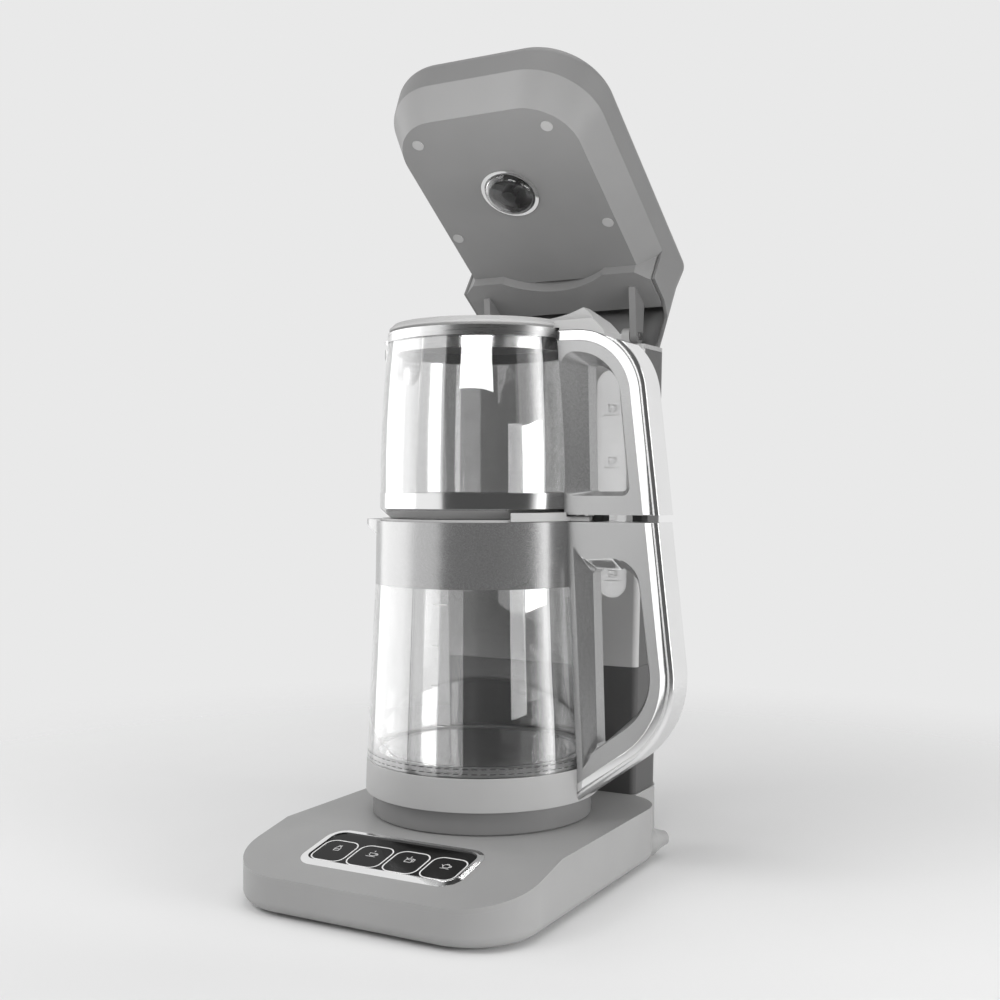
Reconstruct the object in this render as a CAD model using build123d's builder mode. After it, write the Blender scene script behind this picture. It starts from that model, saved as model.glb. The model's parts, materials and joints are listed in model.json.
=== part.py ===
"""Automatic tea maker: base with key panel, tank column, opening brew head, glass kettle and teapot.

Millimetres, +Z up. The origin is on the kettle's axis at the level of the table. The keys are at the
front (-Y), the column at the rear (+Y), the handles point to +X and the spouts to -X. The head is drawn
as it stands open.
"""
import os
from math import cos, radians, sin, tan

from build123d import *

os.makedirs("parts", exist_ok=True)

# ------------------------------------------------------------------ common sizes
wall = 2.5                  # moulded housings
fit = 0.3                   # air between pieces that move apart
seat = 0.2                  # air round a piece that sits in a cut-out
screw_radius = 1.6
screw_head_radius = 3.0
screw_head_height = 1.8
screw_length = 26.0
screw_slot_length = 3.4
screw_slot_width = 0.8

# ------------------------------------------------------------------ base
foot_height = 2.0
foot_radius = 8.0
foot_recess = 1.0
foot_round = 0.5
foot_x = 72.0
foot_front_y = -112.0
foot_rear_x = 60.0
foot_rear_y = 98.0
shell_screw_x = 78.0
shell_screw_front_y = -40.0
shell_screw_rear_y = 44.0
base_half_width = 97.5
base_front = -150.0
base_back = 80.0
base_front_corner = 42.0
base_back_corner = 32.0
base_tail_half_width = 75.0  # the part under the column
base_tail_start = 60.0
base_bottom_round = 7.0
base_top = 38.0
cover_thickness = 3.0
cover_lip = 3.0
lip_thickness = 1.6
slope_start = -80.0         # from here to the front the top face slopes down
slope_angle = 11.4
screw_post_radius = 4.5

# ------------------------------------------------------------------ key panel
panel_centre_y = -107.8
frame_width = 109.5
frame_length = 45.5
frame_corner = 12.0
frame_rise = 0.9
frame_body_margin = 2.2     # the flange covers the cut-out by this much
frame_edge = 0.25           # height of the frame's outer edge, where its bevel starts
frame_lip = 1.0             # flat strip round the fascia
frame_ledge = 1.4
frame_depth = 4.0
fascia_width = 101.0
fascia_length = 36.0
fascia_corner = 8.0
fascia_shift = 0.9
fascia_thickness = 2.2
fascia_rise = 0.3
key_width = 24.0
key_length = 26.0
key_corner = 7.0
key_pitch = 25.2
key_shift = -3.4
key_gap = 0.15
key_travel = 0.6
key_flange = 0.35           # how far the flange reaches under the fascia at the sides
key_flange_thickness = 1.0
key_stem_radius = 2.0
key_stem_length = 0.6
switch_size = 6.0
switch_height = 3.0
switch_body_height = 1.8
switch_button_radius = 1.7
board_width = 122.0
board_length = 50.0
board_thickness = 1.6
board_boss_x = 57.0
board_boss_y = 20.5
board_boss_radius = 3.2

# ------------------------------------------------------------------ socket and drive parts in the base
socket_radius = 21.7
socket_flange_radius = 26.0
socket_flange_height = 4.5
socket_rise = 3.0
socket_wall = 2.0
post_radius = 9.0
post_rise = 9.0
contact_pin_radius = 2.6
contact_ring_radii = (12.5, 16.5)
contact_ring_width = 1.2
contact_ring_height = 0.3
power_board_width = 90.0
power_board_length = 56.0
power_board_y = 20.0
power_board_z = 10.0
power_post_span_x = 78.0
power_post_span_y = 44.0
power_post_radius = 3.0
relay_length = 18.0
relay_width = 15.0
relay_height = 12.0
outlet_side_inset = 17.1    # from the base's right and rear edges to the outlet's root
outlet_rear_inset = 30.6
outlet_z = 12.0
outlet_length = 34.0
outlet_root_radius = 9.8
outlet_flare_start = 20.0
outlet_waist_at = 27.5      # where its side is drawn in most, along the outlet
outlet_waist_radius = 6.4
outlet_tip_radius = 4.6
outlet_tip_round = 1.0
outlet_bore_radius = 3.2
outlet_angle = 62.0         # from +X towards +Y
wire_hole_x = 40.0
wire_hole_radius = 5.0

# ------------------------------------------------------------------ column
column_front = 79.0
column_rear = 130.0
column_half_bottom = 74.0
column_half_top = 81.0
column_front_corner = 4.0
column_rear_corner = 20.0
column_top = 346.0
column_seam = 125.0
column_panel_depth = 4.0    # the front panel wraps back to here
top_frame_thickness = 3.0
window_x = 57.5
window_width = 22.0
window_bottom = 172.0
window_top = 329.0
window_recess = 0.6
window_flange = 1.5
window_flange_thickness = 1.0
tank_half_width = 66.0
tank_depth = 29.0
tank_gap = 1.2              # between the front panel and the tank
tank_bottom = 100.0
tank_wall = 1.8
tank_corner = 6.0
tank_port_x = 40.0
tank_port_radius = 4.0
tank_port_length = 12.0
shelf_thickness = 3.0
filler_half_width = 60.0
filler_front = 85.0
filler_rear = 112.0
pump_radius = 15.0
pump_length = 54.0
pump_x = -22.0
pump_y = 104.0
pump_lift = 4.0
pump_port_length = 5.0
pump_foot_length = 8.0
hose_radius = 3.0
hose_bore = 1.8
inlet_bend = 12.0
riser_x = 0.0
riser_y = 119.0
riser_turn_z = 80.0
riser_bend = 5.0
swivel_end = 16.0           # the riser ends in a spigot on the hinge's axis
swivel_length = 8.0
swivel_wall = 2.0

# ------------------------------------------------------------------ hinge of the head
hinge_y = 119.0
hinge_z = 356.0
open_angle = 34.6
pin_radius = 3.0
pin_clearance = 0.05
eye_radius = 6.0
ear_radius = 6.2
ear_x = 50.0
ear_width = 6.0
arm_width = 5.0
arm_gap = 0.6
pin_head_thickness = 1.5
pin_head_margin = 1.5
pin_overhang = 1.4

# ------------------------------------------------------------------ head, measured from the hinge
panel_rise = 31.5           # underside of the head above the hinge
bevel_height = 20.7
band_height = 23.8          # side wall from the rim to the crown
head_top_round = 7.0
panel_half_width = 65.5
panel_front = 186.2
panel_corner = 34.0
rim_half_width = 77.5
rim_front = 199.3
rim_corner = 45.0
edge_half_width = 80.3
edge_front = 201.8
edge_corner = 46.5
head_rear = 15.0
head_rear_corner = 14.0
head_wall = 2.5
block_drop = 7.0            # the rear block reaches this far below the underside
block_front = 39.8
block_half_width = 74.7
block_rear = 3.0
wave_half_width = 40.8
wave_depth = 12.4
cheek_front = 31.0
cheek_half_width = 65.0
skirt_rise = 25.5
skirt_step = 8.0
skirt_knee = 19.5
skirt_waist = 10.0
skirt_inner = 3.5
skirt_bottom = -9.0
skirt_tail = -1.0
arm_foot_front = 26.0
arm_foot_rear = 6.0
arm_foot_height = 1.0
plug_radius = 4.0
plug_proud = 0.4
plug_front_x = 48.4
plug_front_y = 169.2
plug_rear_x = 59.2
plug_rear_y = 82.3
dome_back = 119.0
dome_radius = 18.0
dome_depth = 9.5
dome_wall = 1.6
dome_ring_width = 2.4
dome_ring_height = 1.6
nozzle_radius = 5.0
nozzle_drop = 5.0
nozzle_plate = 2.0
nozzle_neck = 5.0
nozzle_arm_length = 13.0
nozzle_arm_width = 3.0
hose_run_rise = 62.0
hose_forward = 30.0
hose_bend = 8.0

# ------------------------------------------------------------------ kettle
kettle_bottom = base_top + fit
foot_ring_radius = 71.4
foot_ring_height = 14.6
foot_ring_round = 1.0
kettle_recess_radius = 38.0
kettle_recess_height = 11.5
connector_radius = 20.0
connector_flange_radius = 25.0
connector_flange_height = 1.5
lower_collar_radius = 76.0
lower_collar_top_radius = 75.5
lower_collar_height = 20.6
kettle_glass_bottom_radius = 75.2
kettle_glass_top_radius = 70.0
kettle_glass_height = 112.5
kettle_glass_wall = 3.0
upper_collar_bottom_radius = 69.8
upper_collar_top_radius = 69.2
upper_collar_height = 40.5
collar_wall = 2.6
collar_shelf_radius = 64.0
floor_plate_radius = 68.0
floor_flat_radius = 60.0
floor_plate_rise = 3.5
floor_groove = 1.2
gasket_radius = 71.8
gasket_lip = 2.0
floor_plate_thickness = 1.2
element_radius = 48.0
element_tube_radius = 4.2
element_arc = 320.0
element_plate_thickness = 1.5
element_plate_margin = 1.0
sensor_radius = 8.0
sensor_height = 6.0
sensor_gap = 2.0
spout_reach = 90.5
spout_drop = 13.0
spout_half_width = 17.0
kettle_lid_gap = 0.7        # between the lid and the collar's bore
kettle_lid_thickness = 3.0
kettle_lid_wall = 2.0
kettle_lid_hole_radius = 3.0
kettle_lid_plug_gap = 1.5
kettle_lid_plug_depth = 9.0
kettle_lid_ledge = 6.7      # from the collar's outside to the inner edge of the lid's ledge
kettle_lid_rib_height = 4.4
kettle_lid_rib_angle = 46.0
lid_rim_thickness = 1.8
lid_tongue_length = 12.0
lid_tongue_width = 18.0
lid_tongue_thickness = 3.0
vent_ring_radius = 50.0
vent_count = 8
vent_length = 14.0
vent_width = 3.0
beak_shoulder = 0.55        # shape of a beak, as shares of its half width and of its drop
beak_slant = 0.35
beak_lip = 1 / 6
seal_depth = 1.0
seal_drop = 1.0             # from the lid's underside to the seal
seal_height = 1.5

# ------------------------------------------------------------------ teapot
teapot_gap = 0.3
teapot_foot_radius = 60.0
band_radius = 66.9
band_rise = 6.3             # from the teapot's underside to where the band is full width
band_step = 2.0
band_side = 9.8
band_sheet = 1.5
glass_heel_radius = 65.2
teapot_glass_bottom_radius = 66.6
teapot_glass_middle_radius = 65.5
teapot_glass_top_radius = 61.6
teapot_glass_height = 97.0
teapot_glass_wall = 2.4
glass_floor_gap = 1.2
teapot_ring_height = 6.0
teapot_ring_radius = 61.9
ring_bore_radius = 59.3
ring_ledge_radius = 58.0
ring_ledge_height = 1.0
teapot_spout_reach = 76.0
teapot_spout_drop = 20.0
teapot_spout_half_width = 15.0
teapot_lid_radius = 60.8
teapot_lid_thickness = 5.6
teapot_lid_wall = 2.0
teapot_lid_step = 3.0
teapot_lid_plug_radius = 55.8
teapot_lid_plug_depth = 7.0
drip_hole_radius = 1.5
drip_ring_radius = 9.0
drip_count = 6
tab_inner_x = 48.0
tab_reach = 93.2
tab_peak_x = 75.0
tab_peak_rise = 7.3
tab_half_width = 13.0
tab_inner_rise = 2.05       # the arcs' middles, over the lid's top
tab_outer_rise = 0.15
tab_mid_rise = 2.55
tab_mid_half_width = 7.8
tab_peak_half_width = 4.5
tab_side_drop = 1.0
tab_tip_drop = 4.0
strainer_radius = 57.6
strainer_height = 7.5
strainer_wall = 0.8
strainer_tongue_half_width = 12.0
strainer_tongue_drop = 17.0
strainer_hole_radius = 0.9
strainer_rows = (6, 6, 4, 2)
strainer_pitch = 3.4
strainer_first_row = 2.0

# ------------------------------------------------------------------ handles
handle_half_width = 13.0
handle_body_gap = 0.3
teapot_trim_width = 6.5
kettle_trim_width = 4.8
trim_gap = 0.5
back_thickness = 3.4
back_round = 2.6
trim_proud = 0.3
neck_inset = 1.5
dish_depth = 7.0
handle_inner_x = 30.0
back_start_x = 93.6         # the teapot's grip strip rises from the trim here
back_start_drop = 6.3
back_taper_angle = 20.0
kettle_back_start_x = 74.0
bumper_inner_gap = 16.3     # from the upper collar out to the inner bumper
bumper_outer_x = 111.3
teapot_trim_x = (40.0, 112.3, 127.0)    # corners of the trim's outer edge, down from the ring's top
teapot_trim_drop = (1.0, 2.9, 136.1)
teapot_trim_bend = 43.0
teapot_rim_x = (63.5, 63.0, 101.5, 110.3)       # the finger opening where its dish starts
teapot_rim_drop = (104.8, 14.0, 17.0, 104.8)
teapot_rim_rounds = (9.0, 8.0, 32.0, 5.0)
teapot_hole_x = (80.5, 79.0, 98.8, 106.2)       # and where it goes through
teapot_hole_drop = (102.0, 23.3, 23.3, 102.0)
teapot_hole_rounds = (2.0, 1.5, 18.0, 4.0)
kettle_trim_x = (122.5, 137.6, 70.0)    # the same for the kettle, up from the base's top
kettle_trim_rise = (204.3, 65.6, 17.0)
kettle_trim_bend = 60.0
kettle_rim_x = (71.2, 78.0, 114.6, 125.6, 84.0, 78.1)
kettle_rim_rise = (176.3, 165.5, 167.5, 76.7, 45.5, 32.5)
kettle_rim_rounds = (0.8, 4.0, 18.0, 40.0, 5.0, 0.8)
kettle_hole_x = (82.3, 85.0, 112.0, 121.8, 87.5, 85.3)
kettle_hole_rise = (156.5, 159.4, 159.8, 80.1, 49.3, 50.5)
kettle_hole_rounds = (1.0, 1.0, 12.0, 36.0, 1.0, 1.0)
teapot_handle_bottom = 231.0
kettle_handle_top = 226.5
bumper_width = 6.5
bumper_length = 10.0
bumper_corner = 1.0

# ------------------------------------------------------------------ sizes worked out from the ones above
seam_z = base_top - cover_thickness
slope = radians(slope_angle)
outlet_x = base_half_width - outlet_side_inset
outlet_y = base_back - outlet_rear_inset
bumper_inner_x = upper_collar_top_radius + bumper_inner_gap
key_names = ("bottle_key", "cup_key", "jug_key", "teapot_key")
frame_body_width = frame_width - 2 * frame_body_margin
frame_body_length = frame_length - 2 * frame_body_margin
frame_body_corner = frame_corner - frame_body_margin
key_under = fascia_rise - fascia_thickness - seat
board_top = key_under - key_flange_thickness - key_stem_length - key_travel - key_gap - switch_height
socket_top = base_top + socket_rise
post_top = base_top + post_rise
contact_top = socket_top + contact_ring_height
frame_plate_bottom = column_top - top_frame_thickness
window_z = (window_bottom + window_top) / 2
window_length = window_top - window_bottom
tank_y = column_front + wall + window_flange_thickness + tank_gap + tank_depth / 2
tank_port_y = pump_y
tank_top = frame_plate_bottom - tank_gap
collar_bottom = kettle_bottom + foot_ring_height
glass_bottom = collar_bottom + lower_collar_height
upper_collar_bottom = glass_bottom + kettle_glass_height
upper_collar_top = upper_collar_bottom + upper_collar_height
floor_plate_z = glass_bottom + floor_plate_rise
teapot_bottom = upper_collar_top + kettle_lid_thickness / 2 + teapot_gap
band_bottom = teapot_bottom + band_rise
band_top = band_bottom + band_side
teapot_glass_top = band_top + teapot_glass_height
ring_top = teapot_glass_top + teapot_ring_height
lid_bottom = ring_top + teapot_gap
lid_top = lid_bottom + teapot_lid_thickness
rim_rise = panel_rise + bevel_height
crown_rise = rim_rise + band_height
tilt = radians(open_angle)
head_up = Vector(0, sin(tilt), cos(tilt))
head_back = Vector(0, cos(tilt), -sin(tilt))
block_bottom = panel_rise - block_drop
plug_places = [
    (-plug_front_x, -plug_front_y),
    (plug_front_x, -plug_front_y),
    (-plug_rear_x, -plug_rear_y),
    (plug_rear_x, -plug_rear_y),
]
swivel_middle = swivel_end - swivel_length / 2
hose_start_rise = hose_radius + swivel_wall
connector_seat = kettle_bottom + kettle_recess_height + wall
kettle_lid_radius = upper_collar_top_radius - collar_wall - kettle_lid_gap
kettle_lid_seat_radius = upper_collar_top_radius - kettle_lid_ledge
kettle_lid_plug_radius = kettle_lid_seat_radius - kettle_lid_plug_gap
lid_rim_radius = upper_collar_top_radius
lid_tongue_reach = lid_rim_radius + lid_tongue_length
kettle_lid_bottom = upper_collar_top - kettle_lid_thickness / 2
kettle_lid_top = kettle_lid_bottom + kettle_lid_thickness
lid_wing_z = upper_collar_top + fit
wing_turn = -kettle_lid_rib_angle
glass_floor = teapot_bottom + band_sheet + glass_floor_gap
strainer_top = teapot_glass_top + ring_ledge_height + strainer_wall


def save(piece, name):
    """Label one finished piece and write it."""
    piece.label = name
    export_step(piece, f"parts/{name}.step")


def panel_plane(height):
    """A plane parallel to the sloping key panel, at this height over its face."""
    fall = (slope_start - panel_centre_y) * tan(slope)
    normal = Vector(0, -sin(slope), cos(slope))
    centre = Vector(0, panel_centre_y, base_top - fall) + normal * height
    return Plane(origin=centre, x_dir=(1, 0, 0), z_dir=normal)


def head_plane(height):
    """A plane parallel to the head's underside, at this height over the hinge, tilted as the head is."""
    normal = Vector(0, sin(tilt), cos(tilt))
    origin = Vector(0, hinge_y, hinge_z) + normal * height
    return Plane(origin=origin, x_dir=(1, 0, 0), z_dir=normal)


def head_side_plane(x):
    """A plane across the hinge at x: its first axis runs towards the head's back, its second up."""
    back = Vector(0, cos(tilt), -sin(tilt))
    return Plane(origin=(x, hinge_y, hinge_z), x_dir=back, z_dir=(1, 0, 0))


def side_slab(points, half_width):
    """A block with this outline, seen from the side as (y, z), across the whole object."""
    with BuildPart() as slab:
        with BuildSketch(Plane.YZ):
            with BuildLine():
                Polyline(*points, close=True)
            make_face()
        extrude(amount=half_width, both=True)
    return slab.part


def plan_block(sketch, low, high):
    """A plan outline pulled up between two heights."""
    with BuildPart() as block:
        with BuildSketch(Plane.XY.offset(low)):
            add(sketch)
        extrude(amount=high - low)
    return block.part


def ring(outer, inner, low, high):
    """A plain ring on the kettle's axis, or a disc where it has no inner radius."""
    with BuildPart() as hoop:
        with BuildSketch(Plane.XY.offset(low)):
            Circle(outer)
            if inner:
                Circle(inner, mode=Mode.SUBTRACT)
        extrude(amount=high - low)
    return hoop.part


def turned(points):
    """A body turned about the kettle's axis from its (radius, z) outline."""
    with BuildPart() as body:
        with BuildSketch(Plane.XZ):
            with BuildLine():
                Polyline(*points, close=True)
            make_face()
        revolve(axis=Axis.Z)
    return body.part


def across(points, half_width):
    """A block with this outline, seen from the front as (x, z), across the object."""
    with BuildPart() as block:
        with BuildSketch(Plane.XZ):
            with BuildLine():
                Polyline(*points, close=True)
            make_face()
        extrude(amount=half_width, both=True)
    return block.part


# ================================================================== base
def base_outline(inset):
    """Plan of the base: wide in front, as wide as the column behind."""
    with BuildSketch() as outline:
        with Locations((0, (base_front + base_back) / 2)):
            Rectangle(2 * base_half_width, base_back - base_front)
        fillet(outline.vertices().group_by(Axis.Y)[0], base_front_corner)
        fillet(outline.vertices().group_by(Axis.Y)[-1], base_back_corner)
        with Locations((0, (base_tail_start + column_rear) / 2)):
            Rectangle(2 * base_tail_half_width, column_rear - base_tail_start)
        fillet(outline.vertices().group_by(Axis.Y)[-1], column_rear_corner)
        if inset:
            offset(amount=-inset)
    return outline.sketch


def under_top_face(depth):
    """Everything that lies this deep under the top face: flat behind, sloping down in front."""
    front = base_front - base_top
    rear = column_rear + base_top
    level = base_top - depth
    fall = (slope_start - front) * tan(slope)
    points = (
        (rear, -base_top),
        (rear, level),
        (slope_start, level),
        (front, level - fall),
        (front, -base_top),
    )
    return side_slab(points, base_half_width + base_top)


foot_places = [
    (0, 0),
    (-foot_x, foot_front_y),
    (foot_x, foot_front_y),
    (-foot_rear_x, foot_rear_y),
    (foot_rear_x, foot_rear_y),
]
shell_screw_places = [
    (-shell_screw_x, shell_screw_front_y),
    (shell_screw_x, shell_screw_front_y),
    (-shell_screw_x, shell_screw_rear_y),
    (shell_screw_x, shell_screw_rear_y),
]
shell_floor_top = foot_height + wall

with BuildPart() as rubber_feet:
    with BuildSketch():
        with Locations(*foot_places):
            Circle(foot_radius)
    extrude(amount=foot_height + foot_recess)
    fillet(rubber_feet.faces().group_by(Axis.Z)[0].edges(), foot_round)
save(rubber_feet.part, "rubber_feet")

with BuildPart() as base_block:
    add(plan_block(base_outline(0), foot_height, base_top))
    fillet(base_block.faces().sort_by(Axis.Z)[0].outer_wire().edges(), base_bottom_round)
    add(under_top_face(0), mode=Mode.INTERSECT)

# the cable outlet is a short flared horn at the rear right corner; its bore opens into the base
outlet_run = Vector(cos(radians(outlet_angle)), sin(radians(outlet_angle)), 0)
outlet_root = Vector(outlet_x, outlet_y, outlet_z)
outlet_plane = Plane(origin=outlet_root, x_dir=(0, 0, 1), z_dir=outlet_run)
outlet_section = Plane(origin=outlet_root, x_dir=outlet_run, z_dir=(outlet_run.Y, -outlet_run.X, 0))
with BuildPart() as cord_outlet:
    with BuildSketch(outlet_section):
        with BuildLine():
            ThreePointArc(
                (outlet_flare_start, outlet_root_radius),
                (outlet_waist_at, outlet_waist_radius),
                (outlet_length, outlet_tip_radius),
            )
            Polyline(
                (outlet_length, outlet_tip_radius),
                (outlet_length, 0),
                (0, 0),
                (0, outlet_root_radius),
                (outlet_flare_start, outlet_root_radius),
            )
        make_face()
    revolve(axis=Axis(outlet_root, outlet_run))
    fillet(cord_outlet.faces().sort_by(Axis(outlet_root, outlet_run))[-1].edges(), outlet_tip_round)
    with BuildSketch(outlet_plane):
        Circle(outlet_bore_radius)
    extrude(amount=outlet_length, mode=Mode.SUBTRACT)
    add(base_block.part, mode=Mode.SUBTRACT)
    add(plan_block(base_outline(wall), 0, base_top), mode=Mode.SUBTRACT)
save(cord_outlet.part, "cord_outlet")

with BuildPart() as base_lower_shell:
    add(base_block.part)
    add(plan_block(base_outline(wall), shell_floor_top, base_top), mode=Mode.SUBTRACT)
    # posts for the cover's screws and for the power board
    with BuildSketch(Plane.XY.offset(foot_height + wall / 2)):
        with Locations(*shell_screw_places):
            Circle(screw_post_radius)
    extrude(amount=base_top - foot_height)
    with BuildSketch(Plane.XY.offset(foot_height + wall / 2)):
        with Locations((0, power_board_y)):
            with GridLocations(power_post_span_x, power_post_span_y, 2, 2):
                Circle(power_post_radius)
    extrude(amount=power_board_z - foot_height - wall / 2)
    add(under_top_face(cover_thickness), mode=Mode.INTERSECT)
    # seats for the feet and the screws, and the way through for the cable
    with BuildSketch(Plane.XY.offset(foot_height)):
        with Locations(*foot_places):
            Circle(foot_radius)
    extrude(amount=foot_recess, mode=Mode.SUBTRACT)
    with BuildSketch(Plane.XY.offset(foot_height)):
        with Locations(*shell_screw_places):
            Circle(screw_radius)
    extrude(amount=base_top, mode=Mode.SUBTRACT)
    with BuildSketch(Plane.XY.offset(foot_height)):
        with Locations(*shell_screw_places):
            Circle(screw_head_radius + seat)
    extrude(amount=screw_head_height, mode=Mode.SUBTRACT)
    with BuildSketch(outlet_plane.offset(-outlet_root_radius)):
        Circle(outlet_bore_radius)
    extrude(amount=outlet_root_radius + outlet_length, mode=Mode.SUBTRACT)
save(base_lower_shell.part, "base_lower_shell")

with BuildPart() as cover_lip_ring:
    add(plan_block(base_outline(wall), foot_height, seam_z))
    add(plan_block(base_outline(wall + lip_thickness), 0, base_top), mode=Mode.SUBTRACT)
    add(under_top_face(cover_thickness), mode=Mode.INTERSECT)
    add(under_top_face(cover_thickness + cover_lip), mode=Mode.SUBTRACT)

with BuildPart() as base_top_cover:
    add(plan_block(base_outline(0), foot_height, base_top))
    add(under_top_face(0), mode=Mode.INTERSECT)
    add(under_top_face(cover_thickness), mode=Mode.SUBTRACT)
    add(cover_lip_ring.part)
    # bosses that carry the key board
    with BuildSketch(panel_plane(board_top)):
        with GridLocations(2 * board_boss_x, 2 * board_boss_y, 2, 2):
            Circle(board_boss_radius)
    extrude(amount=-board_top - cover_thickness / 2)
    # cut-outs for the key panel, the socket and the wires to the column
    with BuildSketch(panel_plane(-frame_depth)):
        RectangleRounded(frame_body_width, frame_body_length, frame_body_corner)
    extrude(amount=frame_depth + frame_rise, mode=Mode.SUBTRACT)
    with BuildSketch(Plane.XY.offset(seam_z - cover_thickness)):
        Circle(socket_radius + seat)
        with Locations((wire_hole_x, pump_y)):
            Circle(wire_hole_radius)
    extrude(amount=3 * cover_thickness, mode=Mode.SUBTRACT)
save(base_top_cover.part, "base_top_cover")

with BuildPart() as base_screws:
    with BuildSketch(Plane.XY.offset(foot_height + foot_recess / 2)):
        with Locations(*shell_screw_places):
            Circle(screw_head_radius)
    extrude(amount=screw_head_height - foot_recess / 2)
    with BuildSketch(Plane.XY.offset(foot_height + screw_head_height)):
        with Locations(*shell_screw_places):
            Circle(screw_radius)
    extrude(amount=screw_length)
    with BuildSketch(Plane.XY.offset(foot_height + foot_recess / 2)):
        with Locations(*shell_screw_places):
            Rectangle(screw_slot_length, screw_slot_width)
            Rectangle(screw_slot_width, screw_slot_length)
    extrude(amount=screw_slot_width, mode=Mode.SUBTRACT)
save(base_screws.part, "base_screws")

# ================================================================== key panel
with BuildPart() as panel_frame:
    with BuildSketch(panel_plane(0)):
        RectangleRounded(frame_width, frame_length, frame_corner)
    extrude(amount=frame_edge)
    with BuildSketch(panel_plane(frame_edge)):
        RectangleRounded(frame_width, frame_length, frame_corner)
    with BuildSketch(panel_plane(frame_rise)):
        with Locations((0, fascia_shift)):
            RectangleRounded(
                fascia_width + 2 * frame_lip, fascia_length + 2 * frame_lip, fascia_corner + frame_lip
            )
    loft()
    with BuildSketch(panel_plane(-frame_depth)):
        RectangleRounded(frame_body_width, frame_body_length, frame_body_corner)
    extrude(amount=frame_depth)
    with BuildSketch(panel_plane(fascia_rise - fascia_thickness)):
        with Locations((0, fascia_shift)):
            RectangleRounded(fascia_width, fascia_length, fascia_corner)
    extrude(amount=frame_depth, mode=Mode.SUBTRACT)
    # the fascia rests on a ledge along its rear edge
    with BuildSketch(panel_plane(-frame_depth)):
        with Locations((0, fascia_shift - frame_ledge / 2)):
            RectangleRounded(fascia_width, fascia_length - frame_ledge, fascia_corner - frame_ledge)
    extrude(amount=2 * frame_depth, mode=Mode.SUBTRACT)
save(panel_frame.part, "panel_frame")

with BuildPart() as panel_fascia:
    with BuildSketch(panel_plane(fascia_rise - fascia_thickness)):
        with Locations((0, fascia_shift)):
            RectangleRounded(fascia_width, fascia_length, fascia_corner)
        with Locations((0, key_shift)):
            with GridLocations(key_pitch, 0, len(key_names), 1):
                RectangleRounded(key_width, key_length, key_corner, mode=Mode.SUBTRACT)
    extrude(amount=fascia_thickness)
save(panel_fascia.part, "panel_fascia")

for place, key_name in enumerate(key_names):
    key_centre = ((place - (len(key_names) - 1) / 2) * key_pitch, key_shift)
    with BuildPart() as key:
        with BuildSketch(panel_plane(key_under)):
            with Locations(key_centre):
                RectangleRounded(key_width - 2 * key_gap, key_length - 2 * key_gap, key_corner - key_gap)
        extrude(amount=fascia_rise - key_under)
        with BuildSketch(panel_plane(key_under)):
            with Locations(key_centre):
                RectangleRounded(key_width + 2 * key_flange, key_length + 2 * key_flange, key_corner)
        extrude(amount=-key_flange_thickness)
        with BuildSketch(panel_plane(key_under - key_flange_thickness)):
            with Locations(key_centre):
                Circle(key_stem_radius)
        extrude(amount=-key_stem_length)
    save(key.part, key_name)

with BuildPart() as key_switches:
    with BuildSketch(panel_plane(board_top)):
        with Locations((0, key_shift)):
            with GridLocations(key_pitch, 0, len(key_names), 1):
                Rectangle(switch_size, switch_size)
    extrude(amount=switch_body_height)
    with BuildSketch(panel_plane(board_top)):
        with Locations((0, key_shift)):
            with GridLocations(key_pitch, 0, len(key_names), 1):
                Circle(switch_button_radius)
    extrude(amount=switch_height)
save(key_switches.part, "key_switches")

with BuildPart() as key_board:
    with BuildSketch(panel_plane(board_top - board_thickness)):
        RectangleRounded(board_width, board_length, board_thickness)
    extrude(amount=board_thickness)
save(key_board.part, "key_board")

# ================================================================== cordless socket and power board
with BuildPart() as base_socket:
    add(ring(socket_flange_radius, post_radius - socket_wall, seam_z - socket_flange_height, seam_z))
    add(ring(socket_radius, post_radius - socket_wall, seam_z - socket_flange_height, socket_top))
    add(ring(post_radius, contact_pin_radius, seam_z - socket_flange_height, post_top))
save(base_socket.part, "base_socket")

with BuildPart() as contact_rings:
    for radius in contact_ring_radii:
        add(ring(radius + contact_ring_width / 2, radius - contact_ring_width / 2, socket_top, contact_top))
save(contact_rings.part, "contact_rings")

with BuildPart() as power_board:
    with BuildSketch(Plane.XY.offset(power_board_z)):
        with Locations((0, power_board_y)):
            Rectangle(power_board_width, power_board_length)
    extrude(amount=board_thickness)
    with BuildSketch(Plane.XY.offset(power_board_z + board_thickness)):
        with Locations((-power_post_span_x / 3, power_board_y)):
            Rectangle(relay_length, relay_width)
        with Locations((power_post_span_x / 3, power_board_y)):
            Rectangle(relay_length, relay_width)
    extrude(amount=relay_height)
save(power_board.part, "power_board")

# ================================================================== column
def column_half(height):
    """Half the column's width: it widens evenly towards the top."""
    share = (height - base_top) / (column_top - base_top)
    return column_half_bottom + (column_half_top - column_half_bottom) * share


def column_outline(height, inset):
    """Plan of the column at one height, shrunk by inset."""
    with BuildSketch(Plane.XY.offset(height)) as outline:
        with Locations((0, (column_front + column_rear) / 2)):
            Rectangle(2 * column_half(height), column_rear - column_front)
        fillet(outline.vertices().group_by(Axis.Y)[0], column_front_corner)
        fillet(outline.vertices().group_by(Axis.Y)[-1], column_rear_corner)
        if inset:
            offset(amount=-inset)
    return outline.sketch


def column_block(low, high, inset):
    """The column's tapering body between two heights."""
    with BuildPart() as block:
        add(column_outline(low, inset))
        add(column_outline(high, inset))
        loft()
    return block.part


front_zone = side_slab(
    (
        (0, 0),
        (column_front + column_panel_depth, 0),
        (column_front + column_panel_depth, column_top),
        (0, column_top),
    ),
    base_half_width,
)

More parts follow.
